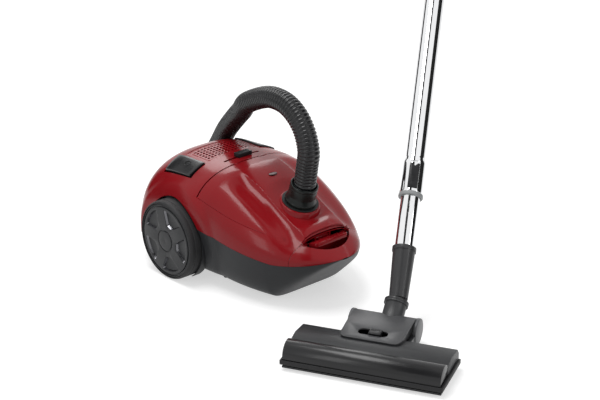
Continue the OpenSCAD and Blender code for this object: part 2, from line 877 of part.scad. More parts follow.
module pedal(s) {
    n = 8;
    x0 = 62;
    x1 = 95;
    ys = even_ys(-7, 63, 10);
    // angle where the upper surface at y reaches half width x
    function ang(y, x) = acos(pow(clamp(x / half_w(y, 0)), 2.7 / 2));
    function row(y, k) = [for (j = [0:n]) upper_pt(y, ang(y, mix(x1 - (y < 0 ? 0 : 0.04 * y), x0, j / n)), k)];
    function flip(r) = s > 0 ? r : [for (i = [len(r) - 1:-1:0]) [-r[i][0], r[i][1], r[i][2]]];
    color(dark) {
        sheet([for (y = ys) flip([for (p = row(y, 0)) p + [1.4, 0, 3]])],
            [for (y = ys) flip([for (p = row(y, 0)) p + [0, 0, -3.4]])]);
        // moulded pivot and the ram on the switch or brake
        translate([s * 65, 28, 176])
            rotate([90, 0, 0])
                cylinder(h = 76.6, r = 2.4, center = true, $fn = 24);
        translate([s * 65, 27, 181.8])
            cube([4, 56, 11.6], center = true);
        translate([s * 82, 27, 155])
            cylinder(h = 25, r = 3.6, $fn = 32);
        translate([s * 82, 27, 155])
            cylinder(h = 1.6, r = 6.6, $fn = 32);
    }
}
module power_pedal() {
    pedal(-1);
}
module rewind_pedal() {
    pedal(1);
}
module pedal_springs() {
    color(metal)
        for (s = [-1, 1])
            translate([s * 82, 27, top_z - 50.9])
                for (i = [0:4])
                    translate([0, 0, 0.8 + i * 1.7])
                        rotate_extrude($fn = 24)
                            translate([5.6, 0])
                                circle(r = 0.9, $fn = 8);
}
module power_switch() {
    color(pale)
        translate([-82, 27, top_z - 62]) {
            cube([20, 30, 17.4], center = true);
            cylinder(h = 18.4, r = 2.4, $fn = 24);
            for (y = [-8, 8])
                translate([0, y, -11])
                    cube([1, 5, 6], center = true);
        }
}

// ---------- wheels ----------
module wheel_pins() {
    color(metal)
        for (s = [-1, 1])
            translate([s * (tub_x - 12), 0, wheel_r])
                rotate([0, s * 90, 0])
                    union() {
                        cylinder(h = wheel_w + 4, r = wheel_pin_r, $fn = 48);
                        cylinder(h = 11.5, r = wheel_pin_r, $fn = 48);
                    }
}
module hub() {
    // along +X from the wheel's inner side to its face
    w = wheel_w;
    r = wheel_r - 8;
    rotate([0, 90, 0])
        difference() {
            union() {
                difference() {
                    cylinder(h = w - 1, r = r, $fn = fine);
                    translate([0, 0, -1])
                        cylinder(h = w - 5, r = r - 3, $fn = fine);
                }
                cylinder(h = w - 4, r = 11, $fn = 48);
                translate([0, 0, w - 5])
                    cylinder(h = 4, r = wheel_r - 4, $fn = fine);
            }
            translate([0, 0, -1])
                cylinder(h = w - 6, r = wheel_pin_r + 0.05, $fn = 48);
            // five pockets of the face
            for (a = [-14:72:274])
                rotate([0, 0, a])
                    translate([0, 0, w - 3])
                        linear_extrude(height = 5)
                            polygon([[29.2, -6.8], [50.5, -24], [54.2, -13], [55.6, 0], [54.2, 13], [50.5, 24], [29.2, 6.8]]);
            translate([0, 0, w - 2])
                difference() {
                    cylinder(h = 5, r = 16, $fn = 48);
                    translate([0, 0, -1])
                        cylinder(h = 7, r = 14.6, $fn = 48);
                }
        }
}
module tyre() {
    w = wheel_w;
    rotate([0, 90, 0])
        rotate_extrude($fn = fine)
            polygon([[wheel_r - 8, 0], [wheel_r - 3, 0], [wheel_r, 3], [wheel_r, w - 6], [wheel_r - 2, w - 2],
                [wheel_r - 4, w - 1], [wheel_r - 4, w - 5], [wheel_r - 8, w - 5]]);
}
module right_wheel() {
    translate([wheel_in_x, 0, wheel_r])
        children();
}
module hub_left() {
    color(grey) mirror([1, 0, 0]) right_wheel() hub();
}
module tyre_left() {
    color(dark) mirror([1, 0, 0]) right_wheel() tyre();
}
module hub_right() {
    color(grey) right_wheel() hub();
}
module tyre_right() {
    color(dark) right_wheel() tyre();
}
caster_y = -150;
trail = 9;
well_z = 39;
module caster_fork() {
    color(grey)
        translate([0, caster_y, 0])
            difference() {
                union() {
                    translate([0, 0, well_z - 3])
                        cylinder(h = 17.6, r = 6, $fn = 48);
                    translate([0, 0, well_z - 3])
                        cylinder(h = 2.7, r = 27, $fn = fine);
                    for (s = [-1, 1])
                        translate([s * (caster_w / 2 + 2), trail, caster_r]) {
                            translate([-1.5, -6, 0])
                                cube([3, 12, well_z - caster_r - 1]);
                            rotate([0, 90, 0])
                                cylinder(h = 3, r = 6, center = true, $fn = 32);
                        }
                }
                translate([0, trail, caster_r])
                    rotate([0, 90, 0])
                        cylinder(h = 60, r = 2, center = true, $fn = 32);
            }
}
module caster_pin() {
    color(metal)
        translate([0, caster_y + trail, caster_r])
            rotate([0, 90, 0])
                cylinder(h = caster_w + 7, r = 2, center = true, $fn = 32);
}
module caster_wheel() {
    color(dark)
        translate([0, caster_y + trail, caster_r])
            rotate([0, 90, 0])
                difference() {
                    union() {
                        cylinder(h = caster_w, r = caster_r - 1, center = true, $fn = 48);
                        cylinder(h = caster_w - 3, r = caster_r, center = true, $fn = 48);
                    }
                    cylinder(h = 60, r = 2.05, center = true, $fn = 32);
                }
}
module screws() {
    color(metal)
        for (x = [-84, 84], y = [-88, 88])
            translate([x, y, base_z + 36]) {
                cylinder(h = 24, r = 1.8, $fn = 24);
                translate([0, 0, -1.6])
                    difference() {
                        cylinder(h = 1.8, r = 3.4, $fn = 32);
                        cube([4.4, 0.9, 1.6], center = true);
                        cube([0.9, 4.4, 1.6], center = true);
                    }
            }
}
module bag_holder() {
    color(grey) {
        at_port()
            translate([0, 0, -26])
                difference() {
                    cylinder(h = 4.5, r = 30, $fn = 48);
                    translate([0, 0, -1])
                        cylinder(h = 8, r = 18, $fn = 48);
                }
        at_port()
            translate([0, -8, -24])
                difference() {
                    cube([84, 10, 2.5], center = true);
                    translate([0, 8, 0])
                        cylinder(h = 6, r = 18, center = true, $fn = 48);
                }
        // posts down to the floor of the bag space
        for (s = [-1, 1])
            translate([s * 37 - 2, port_y - 5, base_z + wall + 0.3])
                cube([4, 10, port_z - base_z - wall - 26]);
    }
}
module pillow(k) {
    hull()
        for (x = [-1, 1], y = [-1, 1], z = [-1, 1])
            translate([x * 48, -118 + y * 26, 90 + z * 14])
                sphere(r = 30 - k, $fn = 24);
}
module dust_bag() {
    color([0.86, 0.82, 0.74])
        difference() {
            union() {
                difference() {
                    pillow(0);
                    pillow(1.5);
                }
                at_port() {
                    translate([0, 0, -27.9])
                        cylinder(h = 1.6, r = 27, $fn = 32);
                    translate([0, 0, -48])
                        cylinder(h = 20.5, r = 16, $fn = 32);
                }
            }
            at_port()
                translate([0, 0, -62])
                    cylinder(h = 40, r = 14.6, $fn = 32);
            translate([0, caster_y, 0])
                cylinder(h = well_z + 24, r = 12, $fn = 32);
        }
}

// ---------- hose with its ends ----------
module hose_cuff() {
    color([0.1, 0.12, 0.11])
        at_port()
            difference() {
                union() {
                    translate([0, 0, -13.7])
                        cylinder(h = 19.7, r = 24, $fn = fine);
                    translate([0, 0, 5])
                        cylinder(h = 36, r = 24, $fn = fine);
                    translate([0, 0, 6.4])
                        cylinder(h = 4, r = 27, $fn = fine);
                    translate([0, 0, 10.4])
                        cylinder(h = 9, r1 = 27, r2 = 24, $fn = fine);
                }
                translate([0, 0, -20])
                    cylinder(h = 60, r = port_r, $fn = fine);
                translate([0, 0, 16])
                    cylinder(h = 40, r = hose_r + 0.3, $fn = fine);
                translate([0, 0, 30])
                    cylinder(h = 12, r1 = hose_r + 0.3, r2 = hose_r + 2.2, $fn = fine);
            }
}
hose_pts = [
    for (s = [16.3, 30, 44]) [0, port_y - s * sin(port_tilt), port_z + s * cos(port_tilt)],
    [0, -200, 229], [0, -203, 255], [0, -193, 286], [0, -173, 310], [2, -141, 323], [6, -95, 320], [14, -34, 293],
    [28, 0, 266], [43, 35, 240], [66, 88, 198], [88, 138, 150], [98, 176, 108], [100, 214, 68], [108, 252, 38],
    [128, 288, 23], [165, 318, 20], [210, 332, 20], [255, 320, 20], [284, 286, 20], [292, 240, 20], [284, 192, 20],
    [272, 150, 20]];
hose_end = hose_pts[len(hose_pts) - 1];
hose_dir = (hose_pts[len(hose_pts) - 1] - hose_pts[len(hose_pts) - 2])
    / norm(hose_pts[len(hose_pts) - 1] - hose_pts[len(hose_pts) - 2]);
function spline(p, k) =
    let(n = len(p))
    concat([for (i = [0:n - 2]) for (j = [0:k - 1])
        let(t = j / k, a = p[max(0, i - 1)], b = p[i], c = p[i + 1], d = p[min(n - 1, i + 2)])
        0.5 * ((2 * b) + (c - a) * t + (2 * a - 5 * b + 4 * c - d) * t * t + (3 * b - a - 3 * c + d) * t * t * t)],
        [p[n - 1]]);
function unit(v) = v / norm(v);
function tangents(p) = [for (i = [0:len(p) - 1]) unit(p[min(len(p) - 1, i + 1)] - p[max(0, i - 1)])];
function carry(t, i, s) = i >= len(t) ? [] : let(v = unit(s - (s * t[i]) * t[i])) concat([v], carry(t, i + 1, v));
module tube(path, r, bore, sides) {
    t = tangents(path);
    f = carry(t, 0, [1, 0, 0]);
    function ring(i, q) = [for (j = [0:sides]) let(a = 360 * (j % sides) / sides)
        path[i] + q * cos(a) * f[i] + q * sin(a) * cross(t[i], f[i])];
    n = len(path);
    m = n * sides;
    function at(i, j, o) = o * m + i * sides + (j % sides);
    pts = concat([for (i = [0:n - 1]) for (j = [0:sides - 1]) ring(i, r)[j]],
        [for (i = [0:n - 1]) for (j = [0:sides - 1]) ring(i, bore)[j]]);
    faces = concat(
        [for (i = [0:n - 2]) for (j = [0:sides - 1]) [at(i, j, 0), at(i + 1, j + 1, 0), at(i, j + 1, 0)]],
        [for (i = [0:n - 2]) for (j = [0:sides - 1]) [at(i, j, 0), at(i + 1, j, 0), at(i + 1, j + 1, 0)]],
        [for (i = [0:n - 2]) for (j = [0:sides - 1]) [at(i, j, 1), at(i, j + 1, 1), at(i + 1, j + 1, 1)]],
        [for (i = [0:n - 2]) for (j = [0:sides - 1]) [at(i, j, 1), at(i + 1, j + 1, 1), at(i + 1, j, 1)]],
        [for (j = [0:sides - 1]) [at(0, j, 0), at(0, j + 1, 0), at(0, j + 1, 1)]],
        [for (j = [0:sides - 1]) [at(0, j, 0), at(0, j + 1, 1), at(0, j, 1)]],
        [for (j = [0:sides - 1]) [at(n - 1, j, 0), at(n - 1, j + 1, 1), at(n - 1, j + 1, 0)]],
        [for (j = [0:sides - 1]) [at(n - 1, j, 0), at(n - 1, j, 1), at(n - 1, j + 1, 1)]]);
    polyhedron(points = pts, faces = faces, convexity = 10);
}
module hose() {
    color([0.09, 0.09, 0.1])
        tube(spline(hose_pts, 3), hose_r, hose_bore_r, 12);
}
grip_a = atan2(hose_dir[1], hose_dir[0]);
module at_grip() {
    translate(hose_end)
        rotate([0, 0, grip_a])
            rotate([0, 90, 0])
                children();
}
grip_bend = 10;
// straight part of the grip, and the bleed hole's place on it
grip_len = 80;
bleed_z = 45;
// from the hose end: nut, straight handle, bend, spigot that enters the wand
module grip_nut() {
    color([0.1, 0.12, 0.11])
        at_grip()
            translate([0, 0, -22])
                difference() {
                    cylinder(h = 30, r = 19.9, $fn = 48);
                    translate([0, 0, -1])
                        cylinder(h = 23, r = 19.3, $fn = 48);
                    cylinder(h = 40, r = 15.5, $fn = 48);
                    translate([0, 0, 26])
                        cylinder(h = 10, r = 18.05, $fn = 48);
                }
}
module grip_body() {
    color([0.14, 0.14, 0.15])
        at_grip() {
            difference() {
                translate([0, 0, 4.3])
                    cylinder(h = grip_len - 4, r = 18, $fn = 48);
                translate([0, 0, 3])
                    cylinder(h = grip_len + 16, r = 15.5, $fn = 48);
                translate([-18, 0, bleed_z])
                    cube([6, 10, 16], center = true);
            }
            translate([0, 0, grip_len])
                rotate([grip_bend, 0, 0])
                    difference() {
                        union() {
                            sphere(r = 18, $fn = 48);
                            cylinder(h = 26, r = 18, $fn = 48);
                            translate([0, 0, 26])
                                cylinder(h = 38, r = outer_tube_r - tube_wall - 0.1, $fn = fine);
                        }
                        translate([0, 0, -1])
                            cylinder(h = 90, r = 14, $fn = 48);
                        rotate([-grip_bend, 0, 0])
                            translate([0, 0, -40])
                                cylinder(h = 41, r = 15.5, $fn = 48);
                    }
        }
}
module grip_slider() {
    color(grey)
        at_grip()
            translate([0, 0, bleed_z])
                intersection() {
                    difference() {
                        cylinder(h = 26, r = 19.9, center = true, $fn = 48);
                        cylinder(h = 28, r = 18.3, center = true, $fn = 48);
                    }
                    translate([-20, 0, 0])
                        cube([20, 26, 28], center = true);
                }
}

// ---------- floor nozzle, in its own directions: X to the right, Y to the back ----------
head_x = -163.5;
head_y = -499;
head_a = -62.5;
drum_x = -8;
roller_r = 7.5;
drum_y = 150;
drum_z = 27;
neck_x = 0;
module at_head() {
    translate([head_x, head_y, 0])
        rotate([0, 0, head_a])
            children();
}
module along_x(x, y, z) {
    translate([x, y, z])
        rotate([0, 90, 0])
            children();
}
brush_y = 23;
brush_z = 22;
module nozzle_sole() {
    w = nozzle_w;
    color(dark)
        at_head()
            difference() {
                union() {
                    translate([-w / 2 + 3, 3, 4])
                        cube([w - 6, nozzle_d - 4, 3]);
                    translate([drum_x - drum_w / 2, nozzle_d - 2, 4])
                        cube([drum_w, drum_y - nozzle_d - 6, 3]);
                    // cheeks that carry the brush roll
                    for (s = [-1, 1])
                        translate([s * (w / 2 - 9) - 2, 6, 6])
                            cube([4, 34, 22]);
                    // seats of the drum
                    for (s = [-1, 1])
                        translate([drum_x + s * (drum_w / 2 - 8) - 2, drum_y - 40, 5])
                            cube([4, 24, 8]);
                    // stands of the turbine shaft
                    for (x = [45 - nozzle_w / 2, -34, 24])
                        translate([x - 1.5, turbine_y - 6, 6])
                            cube([3, 12, 21]);
                    // cheeks of the floor rollers
                    for (s = [-1, 1], k = [-10.6, 10.6])
                        translate([s * (w / 2 - 30) + k - 1.5, 66, 6])
                            cube([3, 12, 7.4]);
                }
                along_x(0, turbine_y, turbine_z)
                    cylinder(h = w, r = 2.05, center = true, $fn = 32);
                for (s = [-1, 1])
                    along_x(s * (w / 2 - 30), 72, roller_r)
                        cylinder(h = 30, r = 2.05, center = true, $fn = 24);
                // suction mouth over the brush
                translate([-w / 2 + 22, 9, 0])
                    cube([w - 44, 28, 20]);
                for (s = [-1, 1])
                    along_x(s * (w / 2 - 9), brush_y, brush_z)
                        cylinder(h = 10, r = 4.05, center = true, $fn = 32);
                for (s = [-1, 1])
                    translate([s * (w / 2 - 30) - 9, 62, 0])
                        cube([18, 20, 20]);
            }
}
module deck_profile(g) {
    // side outline of the low deck behind the brush cover
    polygon([[42 + g, 7.3], [42 + g, 36 - g], [60, 40 - g], [nozzle_d - 8, 36 - g], [nozzle_d - g, 26 - g],
        [nozzle_d - g, 7.3]]);
}
module nozzle_deck() {
    w = nozzle_w;
    color(dark)
        at_head() {
            difference() {
                rotate([90, 0, 90])
                    linear_extrude(height = w - 8, center = true)
                        deck_profile(0);
                difference() {
                    rotate([90, 0, 90])
                        linear_extrude(height = w - 14, center = true)
                            deck_profile(2.6);
                    translate([0, 70, 0])
                        cube([w, 120, 15], center = true);
                }
                translate([0, 70, 8])
                    cube([w - 14, 52, 12], center = true);
                translate([0, nozzle_d, 22])
                    cube([60, 20, 20], center = true);
                // passage of the belt
                translate([-w / 2 + 19, 43, 22])
                    cube([9, 8, 25], center = true);
            }
            // skirt between deck and drum, under the pale plate
            difference() {
                intersection() {
                    linear_extrude(height = 80)
                        difference() {
                            plate_outline(2);
                            plate_outline(4.6);
                        }
                    rotate([90, 0, 90])
                        linear_extrude(height = 300, center = true)
                            polygon([[60, 34], [60, 40], [110, 44.4], [drum_y, 47.8], [drum_y, 7.3],
                                [nozzle_d - 4, 7.3], [nozzle_d - 4, 34]]);
                }
                along_x(0, drum_y, drum_z)
                    cylinder(h = 300, r = drum_r + 1.2, center = true, $fn = fine);
            }
            // arms that carry the end caps of the drum
            for (s = [-1, 1])
                difference() {
                    translate([drum_x + s * (drum_w / 2 + 2.4) - 2.9, nozzle_d - 3, 7.3])
                        cube([5.8, 36, 22]);
                    along_x(0, drum_y, drum_z)
                        cylinder(h = 300, r = drum_r + 1.3, center = true, $fn = fine);
                }
        }
}
module plate_outline(g) {
    w0 = drum_w / 2 + 1 - g;
    w1 = drum_w / 2 - 9 - g;
    translate([drum_x, 0])
        polygon(concat([[-w0, drum_y - 2], [w0, drum_y - 2]],
            [for (a = [0:15:90]) [w1 + 8 - 12 + 12 * cos(a), 66 + g + 12 - 12 * sin(a)]],
            [for (a = [90:-15:0]) [-(w1 + 8 - 12 + 12 * cos(a)), 66 + g + 12 - 12 * sin(a)]]));
}
module nozzle_plate() {
    color(grey)
        at_head()
            difference() {
                intersection() {
                    linear_extrude(height = 80)
                        plate_outline(0);
                    rotate([90, 0, 90])
                        linear_extrude(height = 300, center = true)
                            difference() {
                                polygon([[64, 42.6], [110, 47.4], [drum_y, drum_z + drum_r + 3],
                                    [drum_y + 8, 36], [64, 38]]);
                                polygon([[60, 40.4], [110, 44.8], [drum_y - 6, drum_z + drum_r + 0.6],
                                    [drum_y - 6, 30], [60, 30]]);
                                translate([drum_y, drum_z])
                                    circle(r = drum_r + 1.3, $fn = fine);
                            }
                }
                // clearance of the neck
                translate([neck_x, drum_y + 12.1, drum_z + 20])
                    cylinder(h = 60, r = 18.6, center = true, $fn = fine);
                translate([drum_x, 88, 36])
                    linear_extrude(height = 20)
                        hull() {
                            translate([-16, 0]) circle(d = 17, $fn = 32);
                            translate([16, 0]) circle(d = 17, $fn = 32);
                        }
            }
}
module nozzle_switch() {
    color(dark)
        at_head()
            translate([drum_x + 4, 88, 43.6]) {
                difference() {
                    rotate([9, 0, 0])
                        translate([0, 0, 1.6])
                            cube([20, 14, 6], center = true);
                    for (x = [-6:3:6])
                        translate([x, 0, 5.6])
                            cube([1, 20, 2.4], center = true);
                }
                translate([0, 0, -3.1])
                    cube([6, 3, 6.2], center = true);
            }
}
module brush_cover() {
    w = nozzle_w;
    color(dark)
        at_head() {
            difference() {
                along_x(0, brush_y, brush_z)
                    cylinder(h = w - 8, r = 21.5, center = true, $fn = fine);
                along_x(0, brush_y, brush_z)
                    cylinder(h = w - 13, r = 19, center = true, $fn = fine);
                translate([0, brush_y, -2])
                    cube([w + 20, 80, 36], center = true);
                translate([0, brush_y + 19 + 20, 20])
                    cube([w + 20, 40, 60], center = true);
                // passage of the belt
                translate([-w / 2 + 19, brush_y + 19, brush_z])
                    cube([9, 14, 25], center = true);
            }
        }
}
module bumper_strip() {
    w = nozzle_w;
    color([0.12, 0.12, 0.13])
        at_head()
            difference() {
                translate([-w / 2, 0, 10])
                    cube([w, nozzle_d - 2, 8]);
                translate([-w / 2 + 3.6, 1.7, 9])
                    cube([w - 7.2, nozzle_d + 5, 10]);
            }
}
module drum_caps() {
    color(grey)
        at_head()
            for (s = [-1, 1])
                along_x(drum_x + s * (drum_w / 2 + 3.2), drum_y, drum_z)
                    difference() {
                        cylinder(h = 6, r = drum_r + 1, center = true, $fn = fine);
                        translate([0, 0, -s * 3])
                            cylinder(h = 4, r = 8.05, center = true, $fn = 32);
                    }
}
module brush_roll() {
    w = nozzle_w;
    color([0.55, 0.1, 0.1])
        at_head() {
            along_x(0, brush_y, brush_z)
                cylinder(h = w - 46, r = 11, center = true, $fn = 48);
            along_x(0, brush_y, brush_z)
                cylinder(h = w - 15, r = 4, center = true, $fn = 32);
            along_x(-w / 2 + 19, brush_y, brush_z)
                cylinder(h = 7, r = 8, center = true, $fn = 32);
        }
}
module bristles() {
    color([0.9, 0.9, 0.88])
        at_head()
            for (k = [-1, 1], i = [0:11], q = [0, 180])
                translate([k * (6 + i * 8.2), brush_y, brush_z])
                    rotate([q + i * 14, 0, 0])
                        translate([0, 0, brush_r - 3.8])
                            cube([4, 2.4, 7.6], center = true);
}
turbine_y = 74;
turbine_z = 22;
turbine_left = 9 - nozzle_w / 2;
module turbine() {
    color(pale)
        at_head() {
            along_x(-4, turbine_y, turbine_z)
                cylinder(h = 44, r = 5, center = true, $fn = 32);
            along_x((28 + turbine_left) / 2, turbine_y, turbine_z)
                cylinder(h = 28 - turbine_left, r = 2, center = true, $fn = 24);
            for (a = [0:36:324])
                translate([-4, turbine_y, turbine_z])
                    rotate([a, 0, 0])
                        translate([-20, -0.7, 4.4])
                            cube([40, 1.4, 7.6]);
            along_x(-nozzle_w / 2 + 19, turbine_y, turbine_z)
                cylinder(h = 7, r = 5, center = true, $fn = 32);
        }
}
module drive_belt() {
    color([0.08, 0.08, 0.08])
        at_head()
            along_x(-nozzle_w / 2 + 19, 0, 0)
                linear_extrude(height = 5.4, center = true)
                    difference() {
                        hull() {
                            translate([-brush_z, brush_y]) circle(r = 9.7, $fn = 32);
                            translate([-turbine_z, turbine_y]) circle(r = 6.7, $fn = 32);
                        }
                        hull() {
                            translate([-brush_z, brush_y]) circle(r = 8.3, $fn = 32);
                            translate([-turbine_z, turbine_y]) circle(r = 5.3, $fn = 32);
                        }
                    }
}
module floor_roller(s) {
    color(grey)
        at_head()
            along_x(s * (nozzle_w / 2 - 30), 72, roller_r)
                union() {
                    cylinder(h = 12, r = roller_r, center = true, $fn = 48);
                    cylinder(h = 23.6, r = 2, center = true, $fn = 24);
                }
}
module roller_left() {
    floor_roller(-1);
}
module roller_right() {
    floor_roller(1);
}
neck_up = 39.6;
elbow_at = 48;
module at_neck() {
    at_head()
        translate([neck_x, drum_y, drum_z])
            rotate([neck_up - 90, 0, 0])
                children();
}
module neck_drum() {
    color(dark)
        difference() {
            union() {
                at_head()
                    along_x(drum_x, drum_y, drum_z)
                        cylinder(h = drum_w - 0.4, r = drum_r, center = true, $fn = fine);
                at_head()
                    along_x(drum_x, drum_y, drum_z)
                        cylinder(h = drum_w + 4, r = 8, center = true, $fn = 32);
                at_neck()
                    cylinder(h = elbow_at - 6, r = 17.8, $fn = fine);
                at_neck()
                    translate([0, 0, elbow_at - 9])
                        cylinder(h = 3, r = 20, $fn = fine);
            }
            at_neck()
                cylinder(h = 60, r = 15.3, $fn = fine);
            at_head()
                along_x(neck_x, drum_y, drum_z)
                    cylinder(h = 40, r = 17.5, center = true, $fn = 48);
            at_head()
                translate([neck_x, drum_y - 20, drum_z - 4])
                    cube([34, 40, 18], center = true);
        }
}
elbow = [2.4, -415, 60.6];
wand_a = 37;
module at_wand() {
    translate(elbow)
        rotate([0, wand_lean, wand_a])
            children();
}
sleeve_len = 88;
module neck_elbow() {
    color(dark)
        difference() {
            union() {
                at_neck()
                    translate([0, 0, elbow_at - 5.7])
                        cylinder(h = 3.6, r = 20, $fn = fine);
                at_neck()
                    translate([0, 0, elbow_at - 16])
                        cylinder(h = 16, r = 15.25, $fn = fine);
                at_neck()
                    translate([0, 0, elbow_at - 3])
                        cylinder(h = 5, r1 = 18, r2 = 15.6, $fn = fine);
                at_wand()
                    translate([0, 0, 0])
                        cylinder(h = sleeve_len - 6, r1 = 15.4, r2 = 18.4, $fn = fine);
                at_wand()
                    translate([0, 0, sleeve_len - 7])
                        cylinder(h = 7, r = 19.8, $fn = fine);
            }
            at_neck()
                translate([0, 0, elbow_at - 20])
                    cylinder(h = 22, r = 12.8, $fn = fine);
            at_wand()
                translate([0, 0, -1])
                    cylinder(h = 50, r = 12.8, $fn = fine);
            at_wand()
                translate([0, 0, 44])
                    cylinder(h = 60, r = inner_tube_r, $fn = fine);
        }
}
module inner_tube() {
    color(metal)
        at_wand()
            difference() {
                translate([0, 0, 44.2])
                    cylinder(h = tube_len, r = inner_tube_r, $fn = fine);
                translate([0, 0, 40])
                    cylinder(h = tube_len + 20, r = inner_tube_r - tube_wall, $fn = fine);
                // row of notches for the catch
                for (i = [0:17])
                    rotate([0, 0, latch_a])
                        translate([inner_tube_r + 0.6, 0, sleeve_len + 55 + i * 20])
                            cube([2.4, 10, 3], center = true);
            }
}
latch_a = 190;
ring_at = sleeve_len + tube_out;
latch_mid = 36;
// smooth bore at the wand's upper end, where the grip's spigot enters
socket_len = 60;
module outer_tube() {
    r = outer_tube_r;
    color(metal)
        at_wand()
            difference() {
                union() {
                    translate([0, 0, ring_at + 6])
                        cylinder(h = tube_len - 6, r = r, $fn = fine);
                    translate([0, 0, ring_at + 6])
                        cylinder(h = 56, r = r + 2.4, $fn = fine);
                    translate([0, 0, ring_at + 62])
                        cylinder(h = 7, r1 = r + 2.4, r2 = r, $fn = fine);
                    translate([0, 0, ring_at])
                        cylinder(h = 6.2, r = r + 3.2, $fn = fine);
                }
                difference() {
                    translate([0, 0, ring_at - 1])
                        cylinder(h = tube_len + 20, r = r - tube_wall, $fn = fine);
                    // bead that stops the grip's spigot
                    translate([0, 0, ring_at + tube_len - socket_len - 2])
                        difference() {
                            cylinder(h = 2, r = r, $fn = fine);
                            translate([0, 0, -1])
                                cylinder(h = 4, r = r - tube_wall - 1.1, $fn = fine);
                        }
                }
                rotate([0, 0, latch_a])
                    translate([r + 2, 0, ring_at + latch_mid])
                        cube([9, 17, 50], center = true);
            }
}
module wand_latch() {
    r = outer_tube_r;
    color([0.1, 0.1, 0.11])
        at_wand()
            rotate([0, 0, latch_a])
                difference() {
                    intersection() {
                        translate([r + 2.2, 0, ring_at + latch_mid - 3])
                            cube([9, 16.2, 43], center = true);
                        translate([0, 0, ring_at])
                            cylinder(h = 70, r = r + 4.6, $fn = fine);
                    }
                    translate([0, 0, ring_at])
                        cylinder(h = 90, r = inner_tube_r + 0.3, $fn = fine);
                    translate([r + 2, 0, ring_at + latch_mid + 20])
                        rotate([45, 0, 0])
                            cube([20, 9, 9], center = true);
                    for (z = [22:3:31])
                        translate([r + 5, 0, ring_at + z])
                            cube([1.6, 20, 1], center = true);
                }
}

// ---------- the parts ----------
lower_housing();
upper_housing();
nose_handle();
bulkhead();
motor_filter();
motor_casing();
motor_rotor();
fan_impeller();
exhaust_grille();
exhaust_filter();
reel_frame();
cable_reel();
cable_outlet();
reel_brake();
control_board();
slider_knob();
power_switch();
power_pedal();
rewind_pedal();
pedal_springs();
wheel_pins();
hub_left();
tyre_left();
hub_right();
tyre_right();
caster_fork();
caster_wheel();
caster_pin();
screws();
lid();
lid_seal();
port_collar();
indicator_window();
indicator_flag();
lid_latch();
bag_holder();
dust_bag();
hose_cuff();
hose();
grip_nut();
grip_body();
grip_slider();
nozzle_sole();
nozzle_deck();
nozzle_plate();
brush_cover();
bumper_strip();
drum_caps();
brush_roll();
bristles();
turbine();
drive_belt();
nozzle_switch();
roller_left();
roller_right();
neck_drum();
neck_elbow();
inner_tube();
outer_tube();
wand_latch();
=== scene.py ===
# Canister vacuum cleaner with hose, telescopic wand and turbo floor nozzle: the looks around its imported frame.
import json
import math

import bmesh
import bpy
import numpy as np
from mathutils import Matrix, Vector


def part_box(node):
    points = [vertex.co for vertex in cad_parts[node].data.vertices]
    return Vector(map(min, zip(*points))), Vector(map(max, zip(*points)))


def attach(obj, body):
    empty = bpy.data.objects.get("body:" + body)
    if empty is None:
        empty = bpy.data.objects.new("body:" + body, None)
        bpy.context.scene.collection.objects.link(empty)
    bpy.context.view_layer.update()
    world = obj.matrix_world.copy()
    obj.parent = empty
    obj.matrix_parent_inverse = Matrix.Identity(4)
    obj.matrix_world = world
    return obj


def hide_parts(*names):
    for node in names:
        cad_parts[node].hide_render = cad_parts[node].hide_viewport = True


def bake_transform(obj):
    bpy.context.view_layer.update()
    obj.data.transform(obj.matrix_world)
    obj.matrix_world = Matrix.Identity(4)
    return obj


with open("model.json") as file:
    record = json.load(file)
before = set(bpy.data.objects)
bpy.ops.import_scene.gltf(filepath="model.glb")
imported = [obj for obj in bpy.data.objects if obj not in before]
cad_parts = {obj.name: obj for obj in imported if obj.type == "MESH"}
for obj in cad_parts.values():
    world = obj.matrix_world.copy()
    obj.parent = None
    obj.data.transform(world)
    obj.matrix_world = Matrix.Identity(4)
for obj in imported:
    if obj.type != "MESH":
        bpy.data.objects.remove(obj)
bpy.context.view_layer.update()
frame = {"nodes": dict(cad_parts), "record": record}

# ---- Studio ----------------------------------------------------------------------------------------------
# A pale floor and surround under a broad overhead soft box, with three weaker ones round the sides. Three
# dark cards stand out of sight, so that the plated tube shows the dark lines that a studio tent gives to metal.
scene = bpy.context.scene
scene.view_settings.view_transform = "Standard"


def linked(name, data):
    """A new object for some data, put in the scene."""
    made = bpy.data.objects.new(name, data)
    scene.collection.objects.link(made)
    return made


eye_target, eye_reach = Vector((0.1305, -0.037, 0.080)), 3.06
eye_turn, eye_rise = math.radians(-42.0), math.radians(22.6)
eye = linked("eye", bpy.data.cameras.new("eye"))
eye.data.lens, eye.data.sensor_width, eye.data.clip_end = 102.0, 36.0, 60.0
eye.location = eye_target + eye_reach * Vector((
    math.sin(eye_turn) * math.cos(eye_rise), -math.cos(eye_turn) * math.cos(eye_rise), math.sin(eye_rise)))
eye.rotation_euler = (eye_target - eye.location).to_track_quat("-Z", "Y").to_euler()
scene.camera = eye


def node_link(tree, kind, **values):
    """A new node with some of its inputs set by name or number, or fed from another node."""
    node = tree.nodes.new(kind)
    for key, value in values.pop("set", {}).items():
        setattr(node, key, value)
    for key, value in values.items():
        numbered = key[0] == "i" and key[1:].isdigit()
        socket = node.inputs[int(key[1:])] if numbered else node.inputs[key.replace("_", " ")]
        if isinstance(value, bpy.types.Node):
            value = value.outputs[0]
        if isinstance(value, bpy.types.NodeSocket):
            tree.links.new(value, socket)
        else:
            socket.default_value = value
    return node


def maths(tree, operation, *values):
    """A Math node on the given numbers or nodes."""
    return node_link(tree, "ShaderNodeMath", set={"operation": operation}, **{f"i{n}": v for n, v in enumerate(values)})


